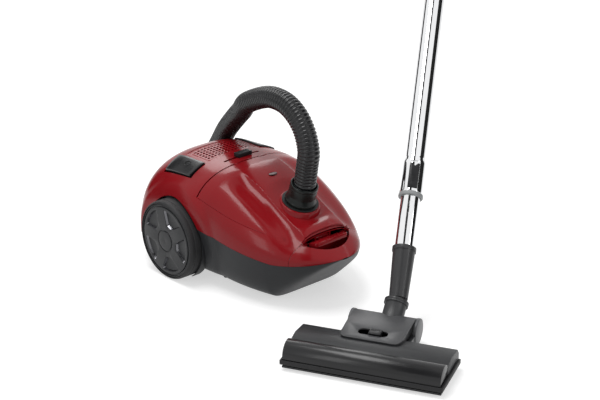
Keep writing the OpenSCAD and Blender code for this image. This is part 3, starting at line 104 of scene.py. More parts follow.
def seen_directly(tree):
    """1 for what the eye sees straight, in a mirror or through glass, else 0."""
    path = tree.nodes.new("ShaderNodeLightPath").outputs
    mirrored = maths(tree, "MAXIMUM", path["Is Camera Ray"], path["Is Glossy Ray"])
    return maths(tree, "MAXIMUM", mirrored, path["Is Transmission Ray"])


def cleared(holder):
    """The emptied node tree of a world or a material."""
    holder.use_nodes = True
    holder.node_tree.nodes.clear()
    return holder.node_tree


surround = scene.world = bpy.data.worlds.new("surround")
tree = cleared(surround)
dim = node_link(tree, "ShaderNodeBackground", Color=(1, 1, 1, 1), Strength=0.42)
white = node_link(tree, "ShaderNodeBackground", Color=(1, 1, 1, 1), Strength=1.0)
either = node_link(tree, "ShaderNodeMixShader", i0=seen_directly(tree), i1=dim, i2=white)
node_link(tree, "ShaderNodeOutputWorld", Surface=either)

ground = [(x, y, -0.0004) for x, y in ((-14, -14), (14, -14), (14, 14), (-14, 14))]
floor_mesh = bpy.data.meshes.new("floor")
floor_mesh.from_pydata(ground, [], [(0, 1, 2, 3)])
pale = bpy.data.materials.new("pale_floor")
tree = cleared(pale)
paint = node_link(tree, "ShaderNodeBsdfDiffuse", Color=(0.66, 0.66, 0.66, 1))
lift = node_link(tree, "ShaderNodeEmission", Color=(1, 1, 1, 1),
                 Strength=maths(tree, "MULTIPLY", seen_directly(tree), 0.56))
both = node_link(tree, "ShaderNodeAddShader", i0=paint, i1=lift)
node_link(tree, "ShaderNodeOutputMaterial", Surface=both)
floor_mesh.materials.append(pale)
linked("floor", floor_mesh)

for name, place, aim, size, watts in (
    ("top_box", (-0.4, 0.1, 2.3), (0.0, -0.1, 0.1), (1.3, 0.9), 27.0),
    ("left_box", (-2.3, -0.4, 1.2), (0.0, -0.1, 0.15), (0.5, 1.3), 6.0),
    ("front_box", (0.5, -2.6, 1.1), (0.1, -0.2, 0.15), (1.1, 0.5), 8.0),
    ("rear_box", (1.2, 1.6, 1.5), (0.1, 0.0, 0.2), (1.2, 0.8), 10.0),
):
    lamp = bpy.data.lights.new(name, "AREA")
    lamp.shape = "RECTANGLE"
    lamp.size, lamp.size_y = size
    lamp.energy = watts
    holder = linked(name, lamp)
    holder.location = place
    holder.rotation_euler = (Vector(aim) - Vector(place)).to_track_quat("-Z", "Y").to_euler()

card_paint = bpy.data.materials.new("dark_card")
card_paint.use_nodes = True
card_shader = card_paint.node_tree.nodes["Principled BSDF"].inputs
card_shader["Base Color"].default_value = (0.004, 0.004, 0.004, 1)
card_shader["Roughness"].default_value = 0.95
tube_middle, tube_line = Vector((0.172, -0.287, 0.273)), Vector((0.5647, 0.4255, 0.7071))
glance = (tube_middle - eye.location).normalized()
bounce = glance.dot(tube_line) * tube_line - (glance - glance.dot(tube_line) * tube_line)
for name, turn, reach, wide in (
    ("card_top", -9.0, 1.6, 0.46), ("card_right", 82.0, 2.5, 2.3), ("card_left", -106.0, 2.5, 0.9),
):
    away = Matrix.Rotation(math.radians(turn), 3, tube_line) @ bounce
    side = away.cross(tube_line).normalized() * wide / 2
    low, high = tube_middle + reach * away - 1.5 * tube_line, tube_middle + reach * away + 1.8 * tube_line
    mesh = bpy.data.meshes.new(name)
    mesh.from_pydata([low - side, low + side, high + side, high - side], [], [(0, 1, 2, 3)])
    mesh.materials.append(card_paint)
    card = linked(name, mesh)
    card.visible_camera = card.visible_diffuse = card.visible_shadow = False

# ---- Hose ------------------------------------------------------------------------------------------------
# A blown plastic hose with ring ribs, glossy black, 38 mm over the ribs. It rises from the cuff in an arch
# that its own stiffness holds, comes down behind the body and lies on the floor up to the hand grip.
hose_r, rib_pitch, rib_depth = 0.0190, 0.0058, 0.0019
port, port_tilt = Vector((0, -0.181, 0.155)), math.radians(18)
port_up = Vector((0, -math.sin(port_tilt), math.cos(port_tilt)))
hose_points = [tuple(port + port_up * s) for s in (0.0163, 0.030, 0.044)] + [
    (x / 1000, y / 1000, z / 1000) for x, y, z in (
        (0, -200, 229), (0, -203, 255), (0, -193, 286), (0, -173, 310), (2, -141, 323), (6, -95, 320), (14, -34, 293),
        (28, 0, 266), (43, 35, 240), (66, 88, 198), (88, 138, 150), (98, 176, 108), (100, 214, 68), (108, 252, 38),
        (128, 288, 23), (165, 318, 20), (210, 332, 20), (255, 320, 20), (284, 286, 20), (292, 240, 20), (284, 192, 20),
        (272, 150, 20))]


def smooth_route(points, steps):
    """Points along the curve that runs through all the given ones."""
    p = [Vector(q) for q in points]
    route = []
    for i in range(len(p) - 1):
        a, b, c, d = p[max(0, i - 1)], p[i], p[i + 1], p[min(len(p) - 1, i + 2)]
        for j in range(steps):
            t = j / steps
            route.append(0.5 * (2 * b + (c - a) * t + (2 * a - 5 * b + 4 * c - d) * t * t
                                + (3 * b - a - 3 * c + d) * t ** 3))
    return route + [p[-1]]


hose_route = smooth_route(hose_points, 24)


def geometry_tree(name, *numbers):
    """A Geometry Nodes tree with a geometry input and output, named number inputs and a finish."""
    tree = bpy.data.node_groups.new(name, "GeometryNodeTree")
    for way in ("INPUT", "OUTPUT"):
        tree.interface.new_socket("Geometry", in_out=way, socket_type="NodeSocketGeometry")
    for label, value in numbers:
        tree.interface.new_socket(label, in_out="INPUT", socket_type="NodeSocketFloat").default_value = value
    tree.interface.new_socket("Finish", in_out="INPUT", socket_type="NodeSocketMaterial")
    return tree, tree.nodes.new("NodeGroupInput").outputs


def finished(tree, given, shape):
    """Ends a tree with its instances made real and clad in its finish."""
    solid = node_link(tree, "GeometryNodeRealizeInstances", Geometry=shape)
    clad = node_link(tree, "GeometryNodeSetMaterial", Geometry=solid, Material=given["Finish"])
    node_link(tree, "NodeGroupOutput", Geometry=clad)


def grown(holder, tree, **inputs):
    """Run a tree on an object and keep the result as a plain mesh object of the holder's name."""
    live = holder.modifiers.new("grow", "NODES")
    live.node_group = tree
    for item in tree.interface.items_tree:
        key = item.name.replace(" ", "_").lower()
        if item.item_type == "SOCKET" and item.in_out == "INPUT" and key in inputs:
            live[item.identifier] = inputs[key]
    bpy.context.view_layer.update()
    shape = bpy.data.meshes.new_from_object(holder.evaluated_get(bpy.context.evaluated_depsgraph_get()))
    name = holder.name
    bpy.data.objects.remove(holder)
    shape.name = name
    return linked(name, shape)


def route_object(name, route):
    """A bare poly curve along a route."""
    curve = bpy.data.curves.new(name, "CURVE")
    curve.dimensions = "3D"
    line = curve.splines.new("POLY")
    line.points.add(len(route) - 1)
    for point, place in zip(line.points, route):
        point.co = (*place, 1)
    return linked(name, curve)


def surface_group():
    """Fine grain, faint cloudiness and gloss variation of a moulded or coated surface."""
    tree = bpy.data.node_groups.new("moulded_surface", "ShaderNodeTree")
    for label, value in (("Grain scale", 900.0), ("Cloud scale", 14.0)):
        tree.interface.new_socket(label, in_out="INPUT", socket_type="NodeSocketFloat").default_value = value
    tree.interface.new_socket("Vector", in_out="INPUT", socket_type="NodeSocketVector")
    for label in ("Cloud", "Gloss", "Height"):
        tree.interface.new_socket(label, in_out="OUTPUT", socket_type="NodeSocketFloat")
    given = tree.nodes.new("NodeGroupInput").outputs
    grain, cloud, smear = [
        node_link(tree, "ShaderNodeTexNoise", Vector=given["Vector"], Scale=scale, Detail=detail, Roughness=rough)
        for scale, detail, rough in (
            (given["Grain scale"], 2.0, 0.6), (given["Cloud scale"], 4.0, 0.55), (46.0, 5.0, 0.65))]
    node_link(tree, "NodeGroupOutput", Cloud=cloud, Gloss=maths(tree, "MULTIPLY_ADD", smear, 0.7, 0.15), Height=grain)
    return tree


moulded_surface = surface_group()


def moulded(name, colour, rough, spread=0.08, grain=900.0, depth=0.00004, tone=0.10, coat=0.0, specular=0.22,
            metal=0.0, cloud=14.0, coat_rough=0.06):
    """A moulded or coated finish: colour drifts by tone, roughness by spread, and the grain is depth metres high."""
    made = bpy.data.materials.new(name)
    made.use_nodes = True
    tree = made.node_tree
    shader = tree.nodes["Principled BSDF"].inputs
    group = node_link(tree, "ShaderNodeGroup", set={"node_tree": moulded_surface}, Grain_scale=grain,
                      Cloud_scale=cloud, Vector=tree.nodes.new("ShaderNodeTexCoord").outputs["Object"]).outputs
    share = node_link(tree, "ShaderNodeMapRange", Value=group["Cloud"], From_Min=0.3, From_Max=0.7)
    mix = node_link(tree, "ShaderNodeMix", set={"data_type": "RGBA"}, i0=share,
                    i6=(*[c * (1 - tone) for c in colour], 1), i7=(*[min(1, c * (1 + tone)) for c in colour], 1))
    tree.links.new(mix.outputs[2], shader["Base Color"])
    gloss = node_link(tree, "ShaderNodeMapRange", Value=group["Gloss"], To_Min=max(0.02, rough - spread),
                      To_Max=rough + spread)
    tree.links.new(gloss.outputs["Result"], shader["Roughness"])
    bump = node_link(tree, "ShaderNodeBump", Height=group["Height"], Strength=1.0, Distance=depth)
    tree.links.new(bump.outputs["Normal"], shader["Normal"])
    shader["Coat Weight"].default_value = coat
    shader["Coat Roughness"].default_value = coat_rough
    shader["Specular IOR Level"].default_value = specular
    shader["Metallic"].default_value = metal
    return made


hose_black = moulded("hose_black", (0.010, 0.010, 0.011), 0.26, spread=0.07, grain=500.0, depth=0.00003, coat=0.08,
                     specular=0.32)
tree, given = geometry_tree("ring_ribs", ("Radius", hose_r), ("Pitch", rib_pitch), ("Depth", rib_depth))
step = maths(tree, "DIVIDE", given["Pitch"], 8.0)
even = node_link(tree, "GeometryNodeResampleCurve", set={"mode": "LENGTH"}, Curve=given["Geometry"], Length=step)
held = tree.nodes.new("GeometryNodeCaptureAttribute")
held.capture_items.new("FLOAT", "Run")
tree.links.new(even.outputs["Curve"], held.inputs["Geometry"])
tree.links.new(tree.nodes.new("GeometryNodeSplineParameter").outputs["Length"], held.inputs["Run"])
ring = node_link(tree, "GeometryNodeCurvePrimitiveCircle", Resolution=34, Radius=given["Radius"])
swept = node_link(tree, "GeometryNodeCurveToMesh", Curve=held, Profile_Curve=ring)
turns = maths(tree, "DIVIDE", held.outputs["Run"], given["Pitch"])
crest = maths(tree, "ABSOLUTE", maths(tree, "SINE", maths(tree, "MULTIPLY", turns, math.pi)))
dip = maths(tree, "SUBTRACT", maths(tree, "POWER", crest, 0.62), 1.0)
push = node_link(tree, "ShaderNodeVectorMath", set={"operation": "SCALE"},
                 i0=tree.nodes.new("GeometryNodeInputNormal"), Scale=maths(tree, "MULTIPLY", dip, given["Depth"]))
shaped = node_link(tree, "GeometryNodeSetPosition", Geometry=swept, Offset=push)
finished(tree, given, node_link(tree, "GeometryNodeSetShadeSmooth", Geometry=shaped))
hose = grown(route_object("hose_corrugated", hose_route), tree, radius=hose_r, pitch=rib_pitch, depth=rib_depth,
             finish=hose_black)
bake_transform(hose)
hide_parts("hose")

# ---- Hose grip -------------------------------------------------------------------------------------------
# The moulded hand grip on the hose's far end: a threaded nut, a bent pipe that fits the wand, and a sliding
# ring that opens a hole to ease the suction. Hard satin plastic, clipped on the hose.
home = {node: body for body, nodes in frame["record"]["behaviour"]["bodies"].items() for node in nodes}


def merged(node):
    """A CAD node's mesh with its doubled points and flat seams merged, as bmesh."""
    work = bmesh.new()
    work.from_mesh(frame["nodes"][node].data)
    bmesh.ops.remove_doubles(work, verts=work.verts, dist=0.000004)
    bmesh.ops.dissolve_degenerate(work, edges=work.edges, dist=0.000002)
    bmesh.ops.dissolve_limit(work, angle_limit=math.radians(0.8), verts=work.verts, edges=work.edges)
    return work


def creased(mesh, sharp):
    """Smooth shading with hard edges where faces meet at more than sharp degrees."""
    for face in mesh.polygons:
        face.use_smooth = True
    mesh.set_sharp_from_angle(angle=math.radians(sharp))


def made_object(name, work, material, sharp=34.0):
    """A bmesh becomes a smooth-shaded object of one material."""
    mesh = bpy.data.meshes.new(name)
    work.to_mesh(mesh)
    work.free()
    mesh.materials.append(material)
    creased(mesh, sharp)
    return linked(name, mesh)


def settled(made, sharp=34.0):
    """Applies an object's modifiers and keeps smooth shading with hard edges."""
    bpy.context.view_layer.update()
    mesh = bpy.data.meshes.new_from_object(made.evaluated_get(bpy.context.evaluated_depsgraph_get()))
    made.modifiers.clear()
    old, made.data = made.data, mesh
    bpy.data.meshes.remove(old)
    mesh.name = made.name
    creased(mesh, sharp)
    return made


def softened(made, width, angle=38.0, segments=2, sharp=34.0):
    """Rounds the edges of a piece as its mould does."""
    rounding = made.modifiers.new("round", "BEVEL")
    rounding.width = width
    rounding.segments = segments
    rounding.limit_method = "ANGLE"
    rounding.angle_limit = math.radians(angle)
    rounding.use_clamp_overlap = True
    return settled(made, sharp)


def belongs(made, *nodes):
    """The piece stands for these CAD nodes and rides on their body."""
    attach(made, home[nodes[0]])
    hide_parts(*nodes)
    return made


def refined(node, material, width=0.0004, sharp=34.0, angle=38.0):
    """A CAD node as the mould leaves it: its own shape with rounded edges and smooth curved faces."""
    made = made_object(node + "_moulding", merged(node), material, sharp)
    if width:
        softened(made, width, angle=angle, sharp=sharp)
    return belongs(made, node)


grip_plastic = moulded("grip_black", (0.016, 0.016, 0.018), 0.38, grain=1300.0, depth=0.00005)
ring_grey = moulded("ring_grey", (0.16, 0.16, 0.17), 0.42, grain=1200.0)
grip_nut = refined("grip_nut", grip_plastic, 0.0006)
grip_body = refined("grip_body", grip_plastic, 0.0008)
grip_slider = refined("grip_slider", ring_grey, 0.0005)

# ---- Lower housing ---------------------------------------------------------------------------------------
# The floor half of the body, injection-moulded in dark grey grained plastic: hull, wheel tubs, motor cradle,
# screw wells and the latch's catch in one piece. Everything else is screwed or clipped to it.
SEAM, SKIN, REAR = 0.4, 2.6, 115.0


def ease(t):
    """A smooth step from 0 to 1."""
    t = np.clip(t, 0, 1)
    return t * t * (3 - 2 * t)


def half_width(y, k):
    """Half the body's width at a station y, k inside its outer face."""
    taper = np.power(np.clip((-100 - y) / (195 - k), 0, None), 1.9)
    front = (122 - k) * np.power(np.clip(1 - taper, 0, 1), 1 / 1.9)
    waist = 127 - k - 5 * (1 - ease((y + 100) / 60))
    rear = 97 - k + np.sqrt(np.clip(900 - np.square(y - 85), 0, None))
    return np.where(y < -100, front, np.where(y < 85, waist, rear))


def seam_height(y):
    """The height of the seam between the two halves."""
    nose = 82 + 10 * np.square((-215 - y) / 80)
    climb = 110 + (52 - 110) * ease((y + 41) / 125)
    return np.where(y < -215, nose, np.where(y < -41, 82 + 0.161 * (y + 215), climb))


def roof_height(y, k):
    """The height of the roof along the middle, k inside its outer face."""
    front = 197 - 105 * np.power(np.clip((-75 - y) / 220, 0, None), 1.36)
    rear = 137 + 60 * np.sqrt(np.clip(1 - np.square((y - 37) / 78), 0, None))
    return np.where(y < -75, front, np.where(y < 37, 197, rear)) - k


def belly_height(y):
    """The height of the belly, which lifts towards the nose."""
    return np.where(y < -203, 10 + 82 * (-203 - y) / 92, 10.0)


def boxiness(y):
    """How square the upper section is at a station y, where 2 is round."""
    return 2.7 - 0.3 * ease((-60 - y) / 120)


def flank_valley(x, y):
    """The crisp ridges of the bonnet with the hollow beside each of them."""
    d = np.clip((np.abs(x) - 43) / 47, 0, 1)
    return 7.4 * ease((-66 - y) / 50) * ease((y + 268) / 46) * 4.354 * np.power(d, 0.75) * np.power(1 - d, 1.6)


def front_lip(x, y):
    """The lid's raised front edge over the grip opening."""
    return np.where(y > -242.1, 5 * ease((-212 - y) / 24) * (1 - ease((np.abs(x) - 25) / 40)), 0)


def port_bowl(x, y, z):
    """How far the lid sinks round the hose port."""
    far = np.hypot(x, (y - port.y * 1000) * math.cos(port_tilt) + (z - port.z * 1000) * math.sin(port_tilt))
    return 3.4 * (1 - ease((far - 36) / 26))


def wheel_flare(x, y, z):
    """The raised lip of the wing round the wheel arch."""
    far = np.hypot(y, z - 70)
    return 3.2 * (1 - ease((far - 92) / 15)) * ease((np.abs(x) - 84) / 24)


def upper_point(y, t, k, lid=False):
    """Points of the upper skin, k inside its outer face, from a station y and an angle t in degrees."""
    c, s = np.cos(np.radians(t)), np.sin(np.radians(t))
    n, seam = boxiness(y), seam_height(y)
    x = half_width(y, k) * np.sign(c) * np.power(np.abs(c), 2 / n)
    z = seam + np.maximum(1, roof_height(y, k) - seam) * np.power(np.abs(s), 2 / n)
    z = z - flank_valley(x, y) * ease((z - seam) / 14) + front_lip(x, y) + SEAM
    if lid:
        z = z - port_bowl(x, y, z)
    return np.stack([x + np.sign(x) * wheel_flare(x, y, z), y + 0 * t, z], -1)


def lower_point(y, t, k):
    """Points of the lower skin, in the same way."""
    c, s = np.cos(np.radians(t)), np.sin(np.radians(t))
    seam = seam_height(y)
    f = np.power(np.abs(s), 1 / 3)
    x = half_width(y, k) * np.sign(c) * np.power(np.abs(c), 1 / 3)
    z = seam - np.maximum(1, seam - belly_height(y) - k) * f
    x = x * (1 - 0.13 * f)
    return np.stack([x + np.sign(x) * wheel_flare(x, y, z), y + 0 * t, z], -1)


def inset_y(y, k):
    """The stations of the inner skin, drawn in by k at both ends."""
    return np.where(y < -100, -100 - (-100 - y) * (195 - k) / 195, -100 + (y + 100) * (215 - k) / 215)


def angle_for(y, z):
    """The angle at which the upper skin reaches the height z."""
    h = np.clip((z - seam_height(y)) / np.maximum(1, roof_height(y, 0) - seam_height(y)), 0, 1)
    return np.degrees(np.arcsin(np.power(h, boxiness(y) / 2)))


def lid_edge(y):
    """The height of the lid's lower edge."""
    return 158 - 40 * np.clip((-50 - y) / 192, 0, 1)


def shell(name, outer, inner, material):
    """A closed sheet between an outer and an inner grid of points in millimetres."""
    rows, cols = outer.shape[:2]
    points = np.concatenate([outer.reshape(-1, 3), inner.reshape(-1, 3)]) / 1000
    count = rows * cols
    faces = []
    for i in range(rows - 1):
        for j in range(cols - 1):
            a, b, c, d = i * cols + j, i * cols + j + 1, (i + 1) * cols + j + 1, (i + 1) * cols + j
            faces.append((a, b, c, d))
            faces.append((count + a, count + d, count + c, count + b))
    for j in range(cols - 1):
        a, b = j, j + 1
        faces.append((a, count + a, count + b, b))
        a, b = (rows - 1) * cols + j, (rows - 1) * cols + j + 1
        faces.append((b, count + b, count + a, a))
    for i in range(rows - 1):
        a, b = i * cols, (i + 1) * cols
        faces.append((b, count + b, count + a, a))
        a, b = a + cols - 1, b + cols - 1
        faces.append((a, count + a, count + b, b))
    mesh = bpy.data.meshes.new(name)
    mesh.from_pydata(points.tolist(), [], faces)
    mesh.materials.append(material)
    work = bmesh.new()
    work.from_mesh(mesh)
    bmesh.ops.remove_doubles(work, verts=work.verts, dist=0.00001)
    bmesh.ops.dissolve_degenerate(work, edges=work.edges, dist=0.000005)
    bmesh.ops.recalc_face_normals(work, faces=work.faces)
    work.to_mesh(mesh)
    work.free()
    return linked(name, mesh)


def carried(made, body):
    """A piece with no CAD node of its own rides on a body."""
    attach(made, body)
    return made


def housing(name, point_at, rows, around, lift, material):
    """A shell between the outer and the inner skin, closed over the body's rounded rear."""
    grid_y, grid_t = np.meshgrid(rows, around, indexing="ij")
    skins, rest_z = [], float(seam_height(np.array(REAR))) + lift
    for k in (0.0, SKIN):
        rim = point_at(np.full_like(around, REAR - 0.1 - k), around, k)
        rings = [np.stack([rim[:, 0] * s, np.full_like(around, REAR - k + 3 * (1 - s * s)),
                           rest_z + (rim[:, 2] - rest_z) * s], -1)
                 for s in (0.985, 0.95, 0.88, 0.76, 0.6, 0.4, 0.2, 0.03)]
        skins.append(np.concatenate([point_at(inset_y(grid_y, k) if k else grid_y, grid_t, k), np.array(rings)]))
    return shell(name, *skins, material)


def prism(outline, low, high, axis="z"):
    """A cutter: an outline in millimetres drawn out along an axis."""
    work = bmesh.new()
    def at(p, h):
        return {"z": (p[0], p[1], h), "x": (h, p[0], p[1]), "y": (p[0], h, p[1])}[axis]
    ring = [work.verts.new([v / 1000 for v in at(p, low)]) for p in outline]
    top = [work.verts.new([v / 1000 for v in at(p, high)]) for p in outline]
    work.faces.new(ring)
    work.faces.new(list(reversed(top)))
    for i in range(len(ring)):
        j = (i + 1) % len(ring)
        work.faces.new((ring[j], ring[i], top[i], top[j]))
    bmesh.ops.recalc_face_normals(work, faces=work.faces)
    mesh = bpy.data.meshes.new("cutter")
    work.to_mesh(mesh)
    work.free()
    return linked("cutter", mesh)


def rounded_ring(cx, cy, rx, ry, count=96):
    """An ellipse as the outline of a cutter."""
    turns = [2 * math.pi * i / count for i in range(count)]
    return [(cx + rx * math.cos(a), cy + ry * math.sin(a)) for a in turns]


def carved(made, cutters, sharp=34.0):
    """Cuts a piece with closed cutters, which are used up."""
    for cutter in cutters:
        cut = made.modifiers.new("cut", "BOOLEAN")
        cut.operation = "DIFFERENCE"
        cut.solver = "MANIFOLD"
        cut.object = cutter
    settled(made, sharp)
    for cutter in cutters:
        bpy.data.objects.remove(cutter)
    return made


def off_skin(node, point_at):
    """What a CAD housing holds inside its skins: bosses, walls, tubs and ledges, as bmesh."""
    work = bmesh.new()
    work.from_mesh(frame["nodes"][node].data)
    bmesh.ops.remove_doubles(work, verts=work.verts, dist=0.000004)
    places = np.array([v.co[:] for v in work.verts]) * 1000
    near = point_at(places)
    drop = [f for f in work.faces if all(near[v.index] for v in f.verts)]
    bmesh.ops.delete(work, geom=drop, context="FACES")
    bmesh.ops.dissolve_limit(work, angle_limit=math.radians(0.8), verts=work.verts, edges=work.edges)
    return work


def near_surface(places, level, wall):
    """True for points on the outer or the inner skin of a housing."""
    def gap(k):
        base = level(places, k)
        slope = np.stack([level(places + np.eye(3)[i] * 0.2, k) - base for i in range(3)], -1) / 0.2
        return np.abs(base) / np.maximum(0.001, np.linalg.norm(slope, axis=-1))
    return (gap(0.0) < 0.75) | (gap(wall) < 0.75) | (places[:, 1] > 111.5)


def upper_level(p, k):
    """Zero on the upper skin, k inside its outer face."""
    x, y, z = p[:, 0], p[:, 1], p[:, 2] - SEAM
    f = ease((-70 - y) / 60) * ease((y + 262) / 40)
    d = np.abs(np.abs(x) - 66) / 22
    valley = np.where(d < 1, 7 * f * np.square(np.cos(np.radians(90 * np.clip(d, 0, 1)))), 0)
    seam, n = seam_height(y), boxiness(y)
    level = z
    for _ in range(6):
        level = z + valley * ease((level - seam) / 14)
    z = level - front_lip(x, y)
    w, h = np.maximum(1, half_width(y, k)), np.maximum(1, roof_height(y, k) - seam)
    return np.power(np.abs(x) / w, n) + np.power(np.clip((z - seam) / h, 0, None), n) - 1


def lower_level(p, k):
    """Zero on the lower skin, in the same way."""
    x, y, z = p[:, 0], p[:, 1], p[:, 2]
    seam = seam_height(y)
    f = np.clip((seam - z) / np.maximum(1, seam - belly_height(y) - k), 0, None)
    w = np.maximum(1, half_width(y, k)) * (1 - 0.13 * np.clip(f, 0, 1))
    return np.power(np.abs(x) / w, 6) + np.power(f, 6) - 1


dark_grain = moulded("dark_grained", (0.023, 0.024, 0.026), 0.44, grain=1500.0, depth=0.00007, tone=0.14)
rows = np.concatenate([-294.5 + 52.5 * (1 - np.cos(np.linspace(0, math.pi / 2, 26)[:-1])),
                       np.linspace(-242, 85, 110), 85 + 30 * np.sin(np.radians(np.linspace(6, 90, 15)))])
lower = housing("lower_hull", lower_point, rows, np.linspace(180, 360, 131), 0.0, dark_grain)
cuts = [prism(rounded_ring(0, 70, 74, 74, 128), 103 * s, 170 * s, "x") for s in (-1, 1)]
cuts += [prism(rounded_ring(x, y, 4, 4, 32), 0, 40) for x in (-84, 84) for y in (-88, 88)]
cuts += [prism(rounded_ring(0, -150, 29.1, 29.1), -5, 30), prism(rounded_ring(0, 84, 8, 8, 48), 100, 130, "y")]
carved(lower, cuts)
belongs(lower, "lower_housing")
inner = off_skin("lower_housing", lambda p: near_surface(p, lower_level, SKIN))
carried(made_object("lower_inner_walls", inner, dark_grain), "canister")

# ---- Upper housing ---------------------------------------------------------------------------------------
# The red lid-side half with the wings over the wheels, moulded in glossy ABS. It drops over the lower half
# on a fine seam and four long screws from below hold it. The wings flare out round the wheel arches.
gloss_red = moulded("gloss_red", (0.245, 0.0058, 0.0095), 0.20, spread=0.05, grain=260.0, depth=0.000012, tone=0.05,
                    coat=0.10, cloud=7.0, coat_rough=0.05, specular=0.17)
rows = np.concatenate([np.linspace(-242, -50.5, 72), np.linspace(-48, 85, 62),
                       85 + 30 * np.sin(np.radians(np.linspace(5, 90, 20)))])
upper = housing("upper_shell", upper_point, rows, np.linspace(0, 180, 201), SEAM, gloss_red)
lid_side = [(-50, 300), (-50, 158), (-242, 118), (-262, 118), (-262, 300)]
slider_slot = [(37 * s + 2.5 * math.cos(a), -31 + 2.5 * math.sin(a)) for s, a0 in ((1, -90), (-1, 90))
               for a in np.radians(np.linspace(a0, a0 + 180, 13))]
pedal_well = ((-18, -36), (19, -41), (17, 37), (-18, 36))
cuts = [prism(lid_side, -200, 200, "x"), prism(slider_slot, 185, 205)]
cuts += [prism(rounded_ring(0, 70, 74, 74, 160), 103 * s, 170 * s, "x") for s in (-1, 1)]
cuts += [prism([(79 * s + x * s, 28 + y) for x, y in pedal_well], 137, 217) for s in (-1, 1)]
cuts += [prism([(-53, -7), (53, -7), (53, 53), (-53, 53)], 177, 217)]
cuts += [prism(rounded_ring(0, 84, 8, 8, 48), 100, 130, "y")]
carved(upper, cuts)
belongs(upper, "upper_housing")
inner = off_skin("upper_housing", lambda p: near_surface(p, upper_level, SKIN))
carried(made_object("upper_inner_walls", inner, gloss_red), "canister")

# ---- Carrying handle -------------------------------------------------------------------------------------
# The red nose with the grip opening, a separate moulding clipped between the two halves. A wall hangs from
# the opening's rim and stiffens it, with short ribs at its two corners, and a thin tray closes it below.
NOSE_SKIN, grip_y = 4.0, -214.6
rows = -294.5 + 52.1 * (1 - np.cos(np.linspace(0, math.pi / 2, 60)))
grid_y, grid_t = np.meshgrid(rows, np.linspace(0, 180, 161), indexing="ij")
nose = shell("carrying_handle", upper_point(grid_y, grid_t, 0),
             upper_point(inset_y(grid_y, NOSE_SKIN), grid_t, NOSE_SKIN), gloss_red)
softened(nose, 0.0007, angle=50)


def grip_arc(radius, count, rear):
    """The front of the grip opening's outline: an arc, cut off at its rear."""
    turns = np.linspace(math.radians(-152), math.radians(-28), count)
    arc = [(radius * math.cos(a), grip_y + radius * math.sin(a)) for a in turns]
    return [p for p in arc if p[1] < rear]


arc = grip_arc(60.4, 73, -243)
carved(nose, [prism([(arc[0][0], -243)] + arc + [(arc[-1][0], -243)], 60, 160)])
softened(nose, 0.0011, angle=50, segments=3)
wall = off_skin("nose_handle", lambda p: near_surface(p, upper_level, NOSE_SKIN))


def block(work, centre, size, turn=None):
    """Adds a block of some size in metres to a bmesh, at a place in millimetres."""
    verts = bmesh.ops.create_cube(work, size=1.0)["verts"]
    place = Matrix.Translation(Vector(centre) / 1000) @ (turn or Matrix()) @ Matrix.Diagonal((*size, 1))
    bmesh.ops.transform(work, matrix=place, verts=verts)


for s in (-1, 1):
    for i in range(5):
        a = math.radians(-90 + s * (34 + 4.6 * i))
        block(wall, (58.6 * math.cos(a), grip_y + 58.6 * math.sin(a), 94), (0.004, 0.0011, 0.017),
              Matrix.Rotation(a, 4, "Z"))
belongs(nose, "nose_handle")
carried(made_object("handle_rim_wall", wall, gloss_red), "canister")
tray, rear, low, high = bmesh.new(), -240.8, 86.0, 87.6
arc = grip_arc(61.3, 61, -242)
rings = [[tray.verts.new((x / 1000, y / 1000, z / 1000))
          for x, y in [(arc[0][0], rear)] + arc + [(arc[-1][0], rear)]] for z in (low, high)]
tray.faces.new(list(reversed(rings[0])))
tray.faces.new(rings[1])
for i in range(len(rings[0])):
    j = (i + 1) % len(rings[0])
    tray.faces.new((rings[0][i], rings[0][j], rings[1][j], rings[1][i]))
for left, right, top in ((-49.0, -38.0, 113.0), (-38.0, 38.0, 102.5), (38.0, 49.0, 113.0)):
    block(tray, ((left + right) / 2, -241.5, (low + 0.2 + top) / 2),
          ((right - left) / 1000, 0.0018, (top - low - 0.2) / 1000))
bmesh.ops.recalc_face_normals(tray, faces=tray.faces)
carried(made_object("handle_tray", tray, gloss_red), "canister")

# ---- Dust lid --------------------------------------------------------------------------------------------
# The red bonnet over the dust bag, hinged at its rear edge. A crisp ridge runs down each side of its middle,
# with a hollow outside it, and the hose port stands in a bowl near its front edge.
rows = np.concatenate([np.linspace(-241.6, -212, 34)[:-1], np.linspace(-212, -52.6, 120)])
share = np.linspace(0, 1, 221)
first = angle_for(rows, lid_edge(rows) + 0.1)
grid_y = np.repeat(rows[:, None], share.size, 1)
grid_t = first[:, None] + (180 - 2 * first[:, None]) * share[None, :]
lid = shell("dust_lid", upper_point(grid_y, grid_t, 0, True), upper_point(grid_y, grid_t, SKIN, True), gloss_red)
softened(lid, 0.0007, angle=50)
port_place = Matrix.Translation(port) @ Matrix.Rotation(port_tilt, 4, "X")


def lathed(profile, sides=128, matrix=Matrix()):
    """A ring of revolution about Z from (radius, height) pairs in millimetres, as bmesh."""
    work = bmesh.new()
    turns = [2 * math.pi * i / sides for i in range(sides)]
    rings = [[work.verts.new(matrix @ Vector((r / 1000 * math.cos(a), r / 1000 * math.sin(a), z / 1000)))
              for a in turns] for r, z in profile]
    for a, b in zip(rings, rings[1:] + [rings[0]]):
        for i in range(sides):
            j = (i + 1) % sides
            work.faces.new((a[i], a[j], b[j], b[i]))
    return work


def eased(profile, radius, steps=4):
    """The closed profile with each corner rounded by up to radius millimetres."""
    points, count = [], len(profile)
    for i in range(count):
        a, b, c = (Vector(profile[(i + k) % count]) for k in (-1, 0, 1))
        r = min(radius, (a - b).length * 0.45, (c - b).length * 0.45)
        start, end = b + (a - b).normalized() * r, b + (c - b).normalized() * r
        for k in range(steps + 1):
            t = k / steps
            points.append(tuple((1 - t) ** 2 * start + 2 * t * (1 - t) * b + t * t * end))
    return points


